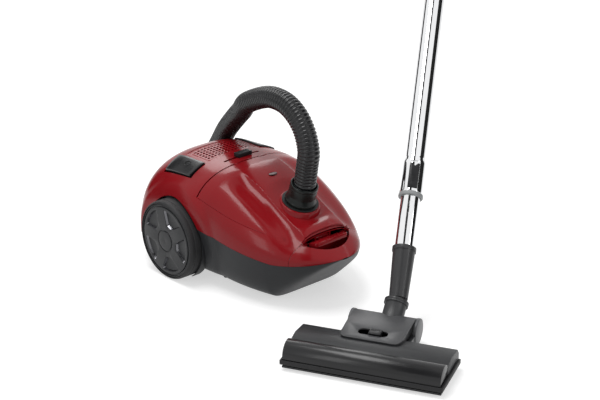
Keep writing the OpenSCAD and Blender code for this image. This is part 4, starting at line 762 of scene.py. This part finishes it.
def turned(name, profile, material, radius=0.5, sides=128, matrix=Matrix(), sharp=40.0):
    """A turned or moulded ring with eased corners as an object."""
    work = lathed(eased(profile, radius), sides, matrix)
    bmesh.ops.recalc_face_normals(work, faces=work.faces)
    return made_object(name, work, material, sharp)


bore = lathed([(0.01, -40), (30.2, -40), (30.2, 40), (0.01, 40)], 128, port_place)
bmesh.ops.remove_doubles(bore, verts=bore.verts, dist=0.00005)
bmesh.ops.recalc_face_normals(bore, faces=bore.faces)
carved(lid, [made_object("cutter", bore, gloss_red), prism(rounded_ring(0, -113, 8.6, 4.6, 64), 150, 210)])
belongs(lid, "lid")


def near_lid_skin(p):
    """True on the lid's skins and on the CAD lid's own collar round the port."""
    collar = np.abs(np.hypot(p[:, 0], p[:, 1] - port.y * 1000) - 34) < 12
    return near_surface(p, upper_level, SKIN) | collar & (p[:, 2] > 130) & (p[:, 1] < -140)


carried(made_object("lid_hinge_and_webs", off_skin("lid", near_lid_skin), gloss_red), "lid")
surround_profile = [(30.1, -13.8), (38.4, -13.8), (36.6, -4), (34.2, 3.0), (33.2, 4.2), (30.1, 4.2)]
carried(turned("port_surround", surround_profile, gloss_red, 1.2, matrix=port_place), "lid")
port_black = moulded("port_black", (0.014, 0.016, 0.016), 0.34, grain=1300.0, depth=0.00004, specular=0.18)
soft_black = moulded("soft_black", (0.014, 0.014, 0.015), 0.62, grain=1800.0, depth=0.00006, specular=0.35)
collar_profile = [(20.3, -18), (30, -18), (30, 4), (31.5, 4.1), (31.5, 6.1), (24.3, 6.1), (24.3, -14), (20.3, -14)]
belongs(turned("port_collar_ring", collar_profile, port_black, 0.6, matrix=port_place), "port_collar")
refined("lid_seal", soft_black, 0.0005)

# ---- Full-bag indicator ----------------------------------------------------------------------------------
# A small smoked window in the lid with a red flag under it, which rises as the bag fills. The window's frame
# clips into the lid and carries the flag's guide on two legs.
smoked = moulded("smoked_window", (0.05, 0.006, 0.008), 0.30, spread=0.05)
signal_red = moulded("signal_red", (0.55, 0.03, 0.02), 0.35)
refined("indicator_window", smoked, 0.0005)
refined("indicator_flag", signal_red, 0.0003)
window_y, window_tilt = -113.0, math.radians(14)
lens_place = (Matrix.Translation((0, window_y / 1000, float(roof_height(np.array(window_y), 0)) / 1000))
              @ Matrix.Rotation(window_tilt, 4, "X") @ Matrix.Diagonal((1, 0.52, 1, 1)))
lens_profile = [(0.02, 1.5), (2.5, 1.42), (5.0, 1.1), (7.0, 0.5), (8.0, -0.5), (8.0, -1.2), (0.02, -1.2)]
lens = lathed(lens_profile, 64, lens_place)
carried(made_object("indicator_lens", lens, smoked), "lid")

# ---- Lid latch -------------------------------------------------------------------------------------------
# The red press tab in the grip opening, hollowed for the thumb, with its hook on a sprung pivot. It is
# moulded in one piece.
refined("lid_latch", gloss_red, 0.0016, angle=30)

# ---- Exhaust grille and filter ---------------------------------------------------------------------------
# A perforated red plate is dropped into the body's top and lets the air out. The exhaust filter under it is a
# pleated fleece in a white moulded frame.
refined("exhaust_grille", gloss_red, 0.00035)
paper_white = moulded("filter_fleece", (0.62, 0.62, 0.60), 0.9, spread=0.05, grain=2600.0, depth=0.00025, specular=0.2)
white_frame = moulded("white_moulding", (0.60, 0.60, 0.58), 0.48, grain=1200.0)
low, high = [Vector(v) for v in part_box("exhaust_filter")]
border, folds, sheet = Vector((0.003, 0.003, 0)), 52, 0.0011
inner_low, inner_high = low + border, high - border
span, fleece, sides = inner_high - inner_low, bmesh.new(), []
for drop in (0, sheet):
    sides.append([])
    for i in range(folds + 1):
        x, z = inner_low.x + span.x * i / folds, inner_low.z + span.z * (0.86 if i % 2 else 0.42) - drop
        sides[-1].append([fleece.verts.new((x, y, z)) for y in (inner_low.y, inner_high.y)])
top, under = sides
for i in range(folds):
    fleece.faces.new((top[i][0], top[i + 1][0], top[i + 1][1], top[i][1]))
    fleece.faces.new((under[i][0], under[i][1], under[i + 1][1], under[i + 1][0]))
    for k in (0, 1):
        fleece.faces.new((top[i][k], under[i][k], under[i + 1][k], top[i + 1][k]))
for i in (0, folds):
    fleece.faces.new((top[i][0], top[i][1], under[i][1], under[i][0]))
bmesh.ops.recalc_face_normals(fleece, faces=fleece.faces)
carried(made_object("exhaust_filter_pleats", fleece, paper_white, 30), "canister")


def corners(a, b):
    """A box's four corners seen from above, in millimetres."""
    return [(x * 1000, y * 1000) for x, y in ((a.x, a.y), (b.x, a.y), (b.x, b.y), (a.x, b.y))]


border_frame = prism(corners(low, high), low.z * 1000, high.z * 1000)
border_frame.name = "exhaust_filter_frame"
border_frame.data.materials.append(white_frame)
carved(border_frame, [prism(corners(inner_low, inner_high), low.z * 1000 - 5, high.z * 1000 + 5)])
softened(border_frame, 0.0006)
belongs(border_frame, "exhaust_filter")

# ---- Foot pedals and power switch ------------------------------------------------------------------------
# Two dark grey pedals sunk in the wings, one for the power switch and one that frees the cable reel. Each
# rocks on a moulded pivot over a coiled return spring. The power pedal carries a plain raised ring and bar.
pedal_grey = moulded("pedal_grey", (0.014, 0.014, 0.015), 0.22, spread=0.08, grain=1300.0, depth=0.00004, coat=0.05,
                     specular=0.30)
for node in ("power_pedal", "rewind_pedal"):
    refined(node, pedal_grey, 0.0013, angle=32)


def wing_point(y, x):
    """A point on the face of the pedal in the right wing, at a station y and about x from the middle."""
    t = np.degrees(np.arccos(np.power(np.clip(x / half_width(np.array(y), 0), 0, 1), 1.35)))
    return upper_point(np.array([y]), np.array([float(t)]), 0)[0] + np.array([1.4, 0, 3.1])


sign = lathed(eased([(5.2, -0.4), (6.6, -0.4), (6.6, 0.5), (5.2, 0.5)], 0.3), 64)
block(sign, (0, 4.2, 0.1), (0.0014, 0.0052, 0.0010))
centre, side = wing_point(22.0, 76.0), wing_point(22.0, 79.0)
lean = math.atan2(centre[2] - side[2], side[0] - centre[0])
place = (Matrix.Translation((-centre[0] / 1000, centre[1] / 1000, centre[2] / 1000))
         @ Matrix.Rotation(-lean, 4, "Y") @ Matrix.Rotation(math.pi, 4, "Z"))
bmesh.ops.transform(sign, matrix=place, verts=sign.verts)
bmesh.ops.recalc_face_normals(sign, faces=sign.faces)
carried(made_object("power_mark", sign, pedal_grey), "power_pedal")


def bare_points(name, places):
    """An object of loose points, on which a tree sets its copies."""
    mesh = bpy.data.meshes.new(name)
    mesh.from_pydata([tuple(p) for p in places], [], [])
    return linked(name, mesh)


spring_steel = moulded("spring_steel", (0.50, 0.50, 0.51), 0.26, metal=1.0, grain=1600.0, depth=0.00001)
coil_r, wire_r, coil_turns = 0.0056, 0.00055, 5.0
low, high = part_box("pedal_springs")
coil_height = float(high[2] - low[2]) - 0.0016
tree, given = geometry_tree("wire_coil", ("Coil radius", coil_r), ("Height", coil_height), ("Turns", coil_turns),
                            ("Wire radius", wire_r))
helix = node_link(tree, "GeometryNodeCurveSpiral", Resolution=40, Rotations=given["Turns"], Height=given["Height"],
                  Start_Radius=given["Coil radius"], End_Radius=given["Coil radius"])
ring = node_link(tree, "GeometryNodeCurvePrimitiveCircle", Resolution=10, Radius=given["Wire radius"])
wire = node_link(tree, "GeometryNodeCurveToMesh", Curve=helix, Profile_Curve=ring, Fill_Caps=True)
soft = node_link(tree, "GeometryNodeSetShadeSmooth", Geometry=wire)
finished(tree, given, node_link(tree, "GeometryNodeInstanceOnPoints", Points=given["Geometry"], Instance=soft))
feet = bare_points("pedal_coil_springs", [(x, 0.027, low[2] + 0.0008) for x in (-0.082, 0.082)])
springs = grown(feet, tree, coil_radius=coil_r, height=coil_height, turns=coil_turns, wire_radius=wire_r,
                finish=spring_steel)
belongs(springs, "pedal_springs")
refined("power_switch", white_frame, 0.0006)
brake_black = moulded("brake_black", (0.015, 0.015, 0.017), 0.40, grain=1300.0)
refined("reel_brake", brake_black, 0.0005)

# ---- Suction slider and control board --------------------------------------------------------------------
# A small black ribbed knob runs in a slot across the body's top and sets the motor's power through the
# potentiometer on the board below.
knob_black = moulded("knob_black", (0.012, 0.012, 0.013), 0.34, grain=1400.0)
refined("slider_knob", knob_black, 0.0006)
board_green = moulded("board_green", (0.012, 0.085, 0.035), 0.40, grain=800.0, tone=0.3, cloud=120.0)
refined("control_board", board_green, 0.0002)

# ---- Rear wheels -----------------------------------------------------------------------------------------
# Large charcoal wheels moulded in hard plastic, with a rubber tread pressed round each rim. The face has five
# pockets with plated walls, a groove inside its rim and a flat cap on the hub.
hub_charcoal = moulded("hub_charcoal", (0.031, 0.032, 0.034), 0.36, spread=0.06, grain=1500.0, depth=0.00005, tone=0.12)
tread_rubber = moulded("tread_rubber", (0.021, 0.021, 0.022), 0.62, grain=1900.0, depth=0.00008, specular=0.3,
                       tone=0.18)
dark_chrome = moulded("dark_chrome", (0.16, 0.16, 0.17), 0.20, spread=0.05, metal=1.0, grain=2200.0, depth=0.00001)
pocket = [(29.2, -6.8), (50.5, -24.0), (54.2, -13.0), (55.6, 0), (54.2, 13.0), (50.5, 24.0), (29.2, 6.8)]
first_pocket = {-1: -22.0, 1: -14.0}
wheel_face = 34.0
disc_profile = [(5.3, 0.5), (10, 0.5), (10, 5.5), (54, 5.5), (56, 1.5), (61.7, 1.5)] + [
    (r, wheel_face + z) for r, z in (
        (61.7, -6.6), (65.7, -6.0), (65.7, -2.6), (63.4, -1.6), (62.8, -4.0), (60.6, -4.0), (60.0, -1.4), (40, -0.7),
        (20.0, -0.4), (19.6, -1.6), (17.6, -1.6), (17.2, 0.2), (0.05, 0.4), (0.05, -7), (5.3, -7))]
tread_profile = [(62, 0), (67, 0), (69.4, 1.2), (70, 3), (70, 8), (69.3, 8.6), (69.3, 9.4), (70, 10), (70, 21),
                 (69.3, 21.6), (69.3, 22.4), (70, 23), (70, 28), (69.0, 31.0), (67.2, 33), (66.1, 33), (66.1, 29),
                 (62, 29)]


def pocket_outline(angle, shrink, steps=5, radius=3.0):
    """One pocket's outline turned to its place, drawn in by a margin, with rounded corners."""
    inner = []
    for i, here in enumerate(pocket):
        before, after = Vector(here) - Vector(pocket[i - 1]), Vector(pocket[(i + 1) % len(pocket)]) - Vector(here)
        a, b = Vector((-before.y, before.x)).normalized(), Vector((-after.y, after.x)).normalized()
        inner.append(Vector(here) + (a + b) * shrink / (1 + a.dot(b)))
    c, s = math.cos(angle), math.sin(angle)
    return [(x * c - y * s, x * s + y * c) for x, y in eased([tuple(p) for p in inner], radius, steps)]


for side, name in ((-1, "left"), (1, "right")):
    place = Matrix.Translation((side * 0.114, 0, 0.07)) @ Matrix.Rotation(math.radians(90 * side), 4, "Y")
    turns = [math.radians(first_pocket[side] + 72 * i) for i in range(5)]
    disc = lathed(eased(disc_profile, 0.4, 3), 160)
    bmesh.ops.recalc_face_normals(disc, faces=disc.faces)
    disc = made_object("wheel_disc_" + name, disc, hub_charcoal)
    carved(disc, [prism(pocket_outline(turn, 0.0), wheel_face - 5.2, wheel_face + 3) for turn in turns])
    disc.data.transform(place)
    softened(disc, 0.0004, angle=50)
    belongs(disc, "hub_" + name)
    rims = bmesh.new()
    for turn in turns:
        top = [rims.verts.new(Vector((x, y, wheel_face - 1.15 - 0.4 * math.hypot(x, y) / 60)) / 1000)
               for x, y in pocket_outline(turn, 0.1)]
        foot = [rims.verts.new(Vector((x, y, wheel_face - 5.1)) / 1000) for x, y in pocket_outline(turn, 1.7)]
        for a in range(len(top)):
            b = (a + 1) % len(top)
            rims.faces.new((top[a], top[b], foot[b], foot[a]))
    bmesh.ops.transform(rims, matrix=place, verts=rims.verts)
    bmesh.ops.recalc_face_normals(rims, faces=rims.faces)
    rims = made_object("wheel_accents_" + name, rims, dark_chrome)
    thick = rims.modifiers.new("thick", "SOLIDIFY")
    thick.thickness = 0.0003
    thick.offset = 0
    carried(settled(rims), home["hub_" + name])
    belongs(turned("tyre_tread_" + name, tread_profile, tread_rubber, 0.35, 160, place), "tyre_" + name)
pin_steel = moulded("pin_steel", (0.46, 0.46, 0.47), 0.30, metal=1.0, grain=900.0, depth=0.00001)
refined("wheel_pins", pin_steel, 0.0006)

# ---- Front caster ----------------------------------------------------------------------------------------
# A swivelling grey fork with a small rubber wheel on a steel pin, pushed up into the well in the belly. It
# carries the nose and turns after the pull of the hose.
fork_grey = moulded("fork_grey", (0.10, 0.10, 0.105), 0.42, grain=1200.0)
refined("caster_fork", fork_grey, 0.0006)
refined("caster_pin", pin_steel, 0.0004)
refined("caster_wheel", soft_black, 0.0012)

# ---- Motor and its partition -----------------------------------------------------------------------------
# Behind the bag a ribbed partition holds the motor filter. The motor lies in a white casing on rubber
# cradles, with its wound rotor on a steel shaft and a pressed aluminium fan at the front.
inside_dark = moulded("inside_dark", (0.045, 0.046, 0.05), 0.50, grain=1400.0, depth=0.00006)
refined("bulkhead", inside_dark, 0.0006)
open_foam = moulded("open_foam", (0.030, 0.030, 0.034), 0.95, spread=0.04, grain=420.0, depth=0.0012, specular=0.15,
                    tone=0.35, cloud=90.0)
low, high = [Vector(v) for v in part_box("motor_filter")]
middle, edge_band, edge_fall, touching = (low + high) / 2, 0.0012, 0.0009, 0.00001
foam_pad = bmesh.new()
block(foam_pad, middle * 1000, high - low)
bmesh.ops.subdivide_edges(foam_pad, edges=foam_pad.edges, cuts=9, use_grid_fill=True)
for v in foam_pad.verts:
    for i in range(3):
        inside = min(abs(v.co[j] - (low[j] if v.co[j] < middle[j] else high[j])) for j in range(3) if j != i)
        if inside < edge_band and abs(v.co[i] - low[i]) < touching:
            v.co[i] += edge_fall
        elif inside < edge_band and abs(v.co[i] - high[i]) < touching:
            v.co[i] -= edge_fall
foam_pad = made_object("motor_filter_foam", foam_pad, open_foam, 60)
rounder = foam_pad.modifiers.new("round", "SUBSURF")
rounder.levels = rounder.render_levels = 1
settled(foam_pad, 60)
belongs(foam_pad, "motor_filter")
refined("motor_casing", white_frame, 0.0006)
lamination = moulded("lamination_steel", (0.33, 0.33, 0.34), 0.38, metal=1.0, grain=1500.0, depth=0.00002, tone=0.2,
                     cloud=60.0)
refined("motor_rotor", lamination, 0.0004)
pressed_metal = moulded("pressed_aluminium", (0.52, 0.52, 0.53), 0.34, metal=1.0, grain=1300.0, depth=0.00002)
refined("fan_impeller", pressed_metal, 0.0003)

# ---- Cable reel ------------------------------------------------------------------------------------------
# A grey spring reel on its frame, where the mains cable is wound, with a rubber outlet bush in the rear wall.
# Both are moulded and snap together.
reel_grey = moulded("reel_grey", (0.17, 0.17, 0.18), 0.42, grain=1200.0)
refined("reel_frame", reel_grey, 0.0006)
refined("cable_reel", reel_grey, 0.0006)
refined("cable_outlet", soft_black, 0.0005)

# ---- Housing screws --------------------------------------------------------------------------------------
# Four plated screws come up from the wells in the belly into the columns of the upper half. Each head has a
# cross recess, shown as a raised black cross of painted shade rather than cut into the head.
plated = moulded("zinc_plated", (0.58, 0.57, 0.53), 0.28, metal=1.0, grain=1500.0, depth=0.00001)
refined("screws", plated, 0.0003)
recess_reach = 0.0042
# Two crossed black bars under each head: painted shade where the cross recess would be, with no hollow cut.
tree, given = geometry_tree("cross_recess", ("Reach", recess_reach))
size = node_link(tree, "ShaderNodeCombineXYZ", X=given["Reach"], Y=0.0011, Z=0.0006)
bar = node_link(tree, "GeometryNodeMeshCube", Size=size)
pair = tree.nodes.new("GeometryNodeJoinGeometry")
for turn in (0, math.pi / 2):
    bars = node_link(tree, "GeometryNodeInstanceOnPoints", Points=given["Geometry"], Instance=bar,
                     Rotation=(0, 0, turn))
    tree.links.new(bars.outputs["Instances"], pair.inputs["Geometry"])
finished(tree, given, pair)
head_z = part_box("screws")[0][2] - 0.0001
heads = bare_points("screw_recesses", [(x, y, head_z) for x in (-0.084, 0.084) for y in (-0.088, 0.088)])
carried(grown(heads, tree, reach=recess_reach, finish=brake_black), "canister")

# ---- Dust bag --------------------------------------------------------------------------------------------
# A folded paper-fleece bag on a card plate that slides in a grey holder under the lid's port. It is half
# filled out by the air, with creases along its folded sides.
refined("bag_holder", ring_grey, 0.0006)
bag_paper = moulded("bag_paper", (0.52, 0.43, 0.30), 0.88, spread=0.06, grain=1500.0, depth=0.00022, specular=0.2,
                    tone=0.14, cloud=40.0)
low, high = [Vector(v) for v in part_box("dust_bag")]
middle = (low + high) / 2
bag = made_object("dust_bag_fleece", merged("dust_bag"), bag_paper, 80)
remesh = bag.modifiers.new("even", "REMESH")
remesh.mode = "VOXEL"
remesh.voxel_size = 0.0042
settled(bag, 80)
work = bmesh.new()
work.from_mesh(bag.data)
for v in work.verts:
    p = v.co
    u, w = (p.x - middle.x) / (high.x - middle.x), (p.y - middle.y) / (high.y - middle.y)
    edge = max(abs(u), abs(w))
    crease = 0.0016 * math.sin(p.z * 480 + 5 * u) * float(ease((edge - 0.72) / 0.2))
    dimple = 0.0022 * math.sin(26 * u + 9 * w) * math.sin(19 * w - 7 * u) * (1 - float(ease((edge - 0.6) / 0.3)))
    if p.z < middle.z + 0.034:
        v.co -= v.normal * (0.0018 + crease + abs(dimple))
work.to_mesh(bag.data)
work.free()
smoother = bag.modifiers.new("relax", "SMOOTH")
smoother.iterations = 2
smoother.factor = 0.4
settled(bag, 80)
belongs(bag, "dust_bag")

# ---- Hose cuff -------------------------------------------------------------------------------------------
# The plain black cuff that plugs into the port and turns there, flared at its foot, with a shallow groove. It
# is moulded in one piece and glued on the hose.
cuff_black = moulded("cuff_black", (0.008, 0.011, 0.010), 0.26, spread=0.06, grain=1300.0, depth=0.00003, coat=0.04,
                     specular=0.18)
cuff_profile = [
    (17, -13.7), (24, -13.7), (24, 5.8), (24.2, 6.4), (27, 6.4), (27, 10.4), (26.2, 11.6), (24.6, 17.5), (24.1, 19.6),
    (24.0, 24), (24.0, 34), (23.7, 34.5), (23.7, 35.6), (24, 36.1), (24, 40), (23.2, 41), (21.4, 41), (19.6, 36),
    (19.35, 30), (19.35, 14), (17, 14)]
belongs(turned("hose_cuff_sleeve", cuff_profile, cuff_black, 0.5, matrix=port_place), "hose_cuff")

# ---- Wand ------------------------------------------------------------------------------------------------
# Two chrome-plated steel tubes that slide into each other. The upper one starts in a grey ring and a wider
# shoulder with a black slide catch, which drops into the notches of the lower tube.
chrome = moulded("chrome_plate", (0.86, 0.865, 0.875), 0.045, spread=0.02, metal=1.0, grain=700.0, depth=0.000004,
                 tone=0.02)
wand_foot, wand_turn, wand_lean = (0.0024, -0.415, 0.0606), math.radians(37), math.radians(45)
quarter = math.radians(90)
wand_place = Matrix.Translation(wand_foot) @ Matrix.Rotation(wand_turn, 4, "Z") @ Matrix.Rotation(wand_lean, 4, "Y")
refined("inner_tube", chrome, 0.0002)
tube_profile = [
    (16.3, 182), (19.4, 182.2), (19.6, 184), (19.6, 236), (19.3, 238.6), (17.8, 243.6), (17.2, 246), (17.2, 674.4),
    (17.0, 675.6), (16.6, 675.8), (16.3, 675), (16.3, 616), (15.2, 615.4), (15.2, 614.6), (16.3, 614)]
upper_tube = turned("upper_tube", tube_profile, chrome, 0.5, 192, wand_place)
catch_cut = prism([(-8.6, -25), (8.6, -25), (8.6, 25), (-8.6, 25)], 14.8, 24)
catch_cut.data.transform(
    wand_place @ Matrix.Rotation(math.radians(190), 4, "Z") @ Matrix.Translation((0, 0, 0.212))
    @ Matrix.Rotation(quarter, 4, "Y") @ Matrix.Rotation(quarter, 4, "Z"))
carved(upper_tube, [catch_cut], 40)
belongs(upper_tube, "outer_tube")
pale_grey = moulded("pale_grey", (0.32, 0.33, 0.335), 0.36, grain=1300.0, depth=0.00003)
ring_profile = [(16.35, 176), (20.4, 176), (20.4, 181.9), (16.35, 181.9)]
carried(turned("wand_ring", ring_profile, pale_grey, 1.0, 128, wand_place), "upper_tube")
catch_black = moulded("catch_black", (0.018, 0.018, 0.020), 0.36, grain=1300.0, depth=0.00004)
refined("wand_latch", catch_black, 0.0007, angle=32)

# ---- Elbow and neck --------------------------------------------------------------------------------------
# The black satin sleeve that holds the lower tube turns in the neck, and the neck tilts on a drum across the
# nozzle's back. Hard plastic, with a grey end disc on either side of the drum.
satin_black = moulded("satin_black", (0.048, 0.048, 0.050), 0.32, grain=1400.0, depth=0.00005, coat=0.05)
neck_grey = moulded("neck_grey", (0.060, 0.061, 0.063), 0.34, grain=1400.0, depth=0.00006)
cap_grey = moulded("cap_grey", (0.105, 0.107, 0.112), 0.34, grain=1300.0, depth=0.00003)
refined("neck_elbow", satin_black, 0.0007)
refined("neck_drum", neck_grey, 0.0007)
refined("drum_caps", cap_grey, 0.0008)

# ---- Floor nozzle ----------------------------------------------------------------------------------------
# A turbo nozzle: a grained dark deck and sole, a satin grey plate over the turbine, a glossy black cover
# over the brush, and a double-lipped rubber bumper round the front.
deck_grain = moulded("deck_grained", (0.034, 0.035, 0.037), 0.40, grain=1500.0, depth=0.00008, tone=0.12)
plate_grey = moulded("plate_grey", (0.070, 0.071, 0.074), 0.34, grain=1500.0, depth=0.00006, tone=0.06)
cover_black = moulded("cover_black", (0.013, 0.013, 0.014), 0.25, spread=0.06, grain=1200.0, depth=0.00003, coat=0.08,
                      specular=0.30)
refined("nozzle_sole", deck_grain, 0.0006)
refined("nozzle_deck", deck_grain, 0.0009, angle=30)
refined("nozzle_plate", plate_grey, 0.0016, angle=40)
refined("brush_cover", cover_black, 0.0008)
refined("bumper_strip", soft_black, 0.0007)
refined("nozzle_switch", knob_black, 0.0007)
for node in ("roller_left", "roller_right"):
    refined(node, fork_grey, 0.0007)

# ---- Turbine, belt and brush roll ------------------------------------------------------------------------
# The air turbine drives the brush roll through a toothed belt on the nozzle's left. Stiff nylon tufts stand
# in two helical rows on the red roll.
refined("turbine", white_frame, 0.0002)
roll_red = moulded("roll_red", (0.20, 0.012, 0.014), 0.30, grain=1200.0)
refined("brush_roll", roll_red, 0.0003)
head_place = Matrix.Translation((-0.1635, -0.499, 0)) @ Matrix.Rotation(math.radians(-62.5), 4, "Z")
nylon = moulded("bristle_nylon", (0.020, 0.020, 0.022), 0.5, grain=2500.0, specular=0.3)
roots, aims, per_row = [], [], 74
for start in (0, math.pi):
    for i in range(per_row):
        a = start + 2 * math.pi * i / (per_row - 1)
        out = Vector((0, math.cos(a), math.sin(a)))
        roots.append(head_place @ (Vector((-0.104 + 0.208 * i / (per_row - 1), 0.023, 0.022)) + out * 0.0102))
        aims.append(head_place.to_3x3() @ out)
tufts = bare_points("brush_tufts", roots)
aim = tufts.data.attributes.new("aim", "FLOAT_VECTOR", "POINT")
aim.data.foreach_set("vector", [c for a in aims for c in a])
tuft_reach, tuft_spread = 0.0068, 0.0016
tree, given = geometry_tree("standing_tufts", ("Reach", tuft_reach), ("Spread", tuft_spread))
tuft = node_link(tree, "GeometryNodeMeshCone", set={"fill_type": "NGON"}, Vertices=7, Side_Segments=2,
                 Radius_Top=given["Spread"], Radius_Bottom=0.0009, Depth=given["Reach"])
toward = node_link(tree, "GeometryNodeInputNamedAttribute", set={"data_type": "FLOAT_VECTOR"}, Name="aim")
turn = node_link(tree, "FunctionNodeAlignRotationToVector", Vector=toward)
stood = node_link(tree, "GeometryNodeInstanceOnPoints", Points=given["Geometry"], Instance=tuft, Rotation=turn)
finished(tree, given, stood)
belongs(grown(tufts, tree, reach=tuft_reach, spread=tuft_spread, finish=nylon), "bristles")

belt_x, belt_half, belt_teeth = -112, 2.6, 45
pulleys = ((Vector((23, 22)), 9.0), (Vector((74, 22)), 6.0))
back, teeth = [], []
for i in range(4 * belt_teeth):
    a = 2 * math.pi * i / (4 * belt_teeth)
    d = Vector((math.cos(a), math.sin(a)))
    c, r = max(pulleys, key=lambda pulley: pulley[0].dot(d) + pulley[1])
    back.append(c + d * (r + 0.6))
    teeth.append(c + d * (r - (0.65 if i % 4 < 2 else 0.25)))
belt = bmesh.new()
rings = [[belt.verts.new(Vector((belt_x + side * belt_half, *p)) / 1000) for p in loop]
         for side, loop in ((-1, back), (1, back), (1, teeth), (-1, teeth))]
for a, b in zip(rings, rings[1:] + rings[:1]):
    for i in range(len(back)):
        j = (i + 1) % len(back)
        belt.faces.new((a[i], a[j], b[j], b[i]))
bmesh.ops.transform(belt, matrix=head_place, verts=belt.verts)
bmesh.ops.recalc_face_normals(belt, faces=belt.faces)
belongs(made_object("toothed_belt", belt, soft_black), "drive_belt")
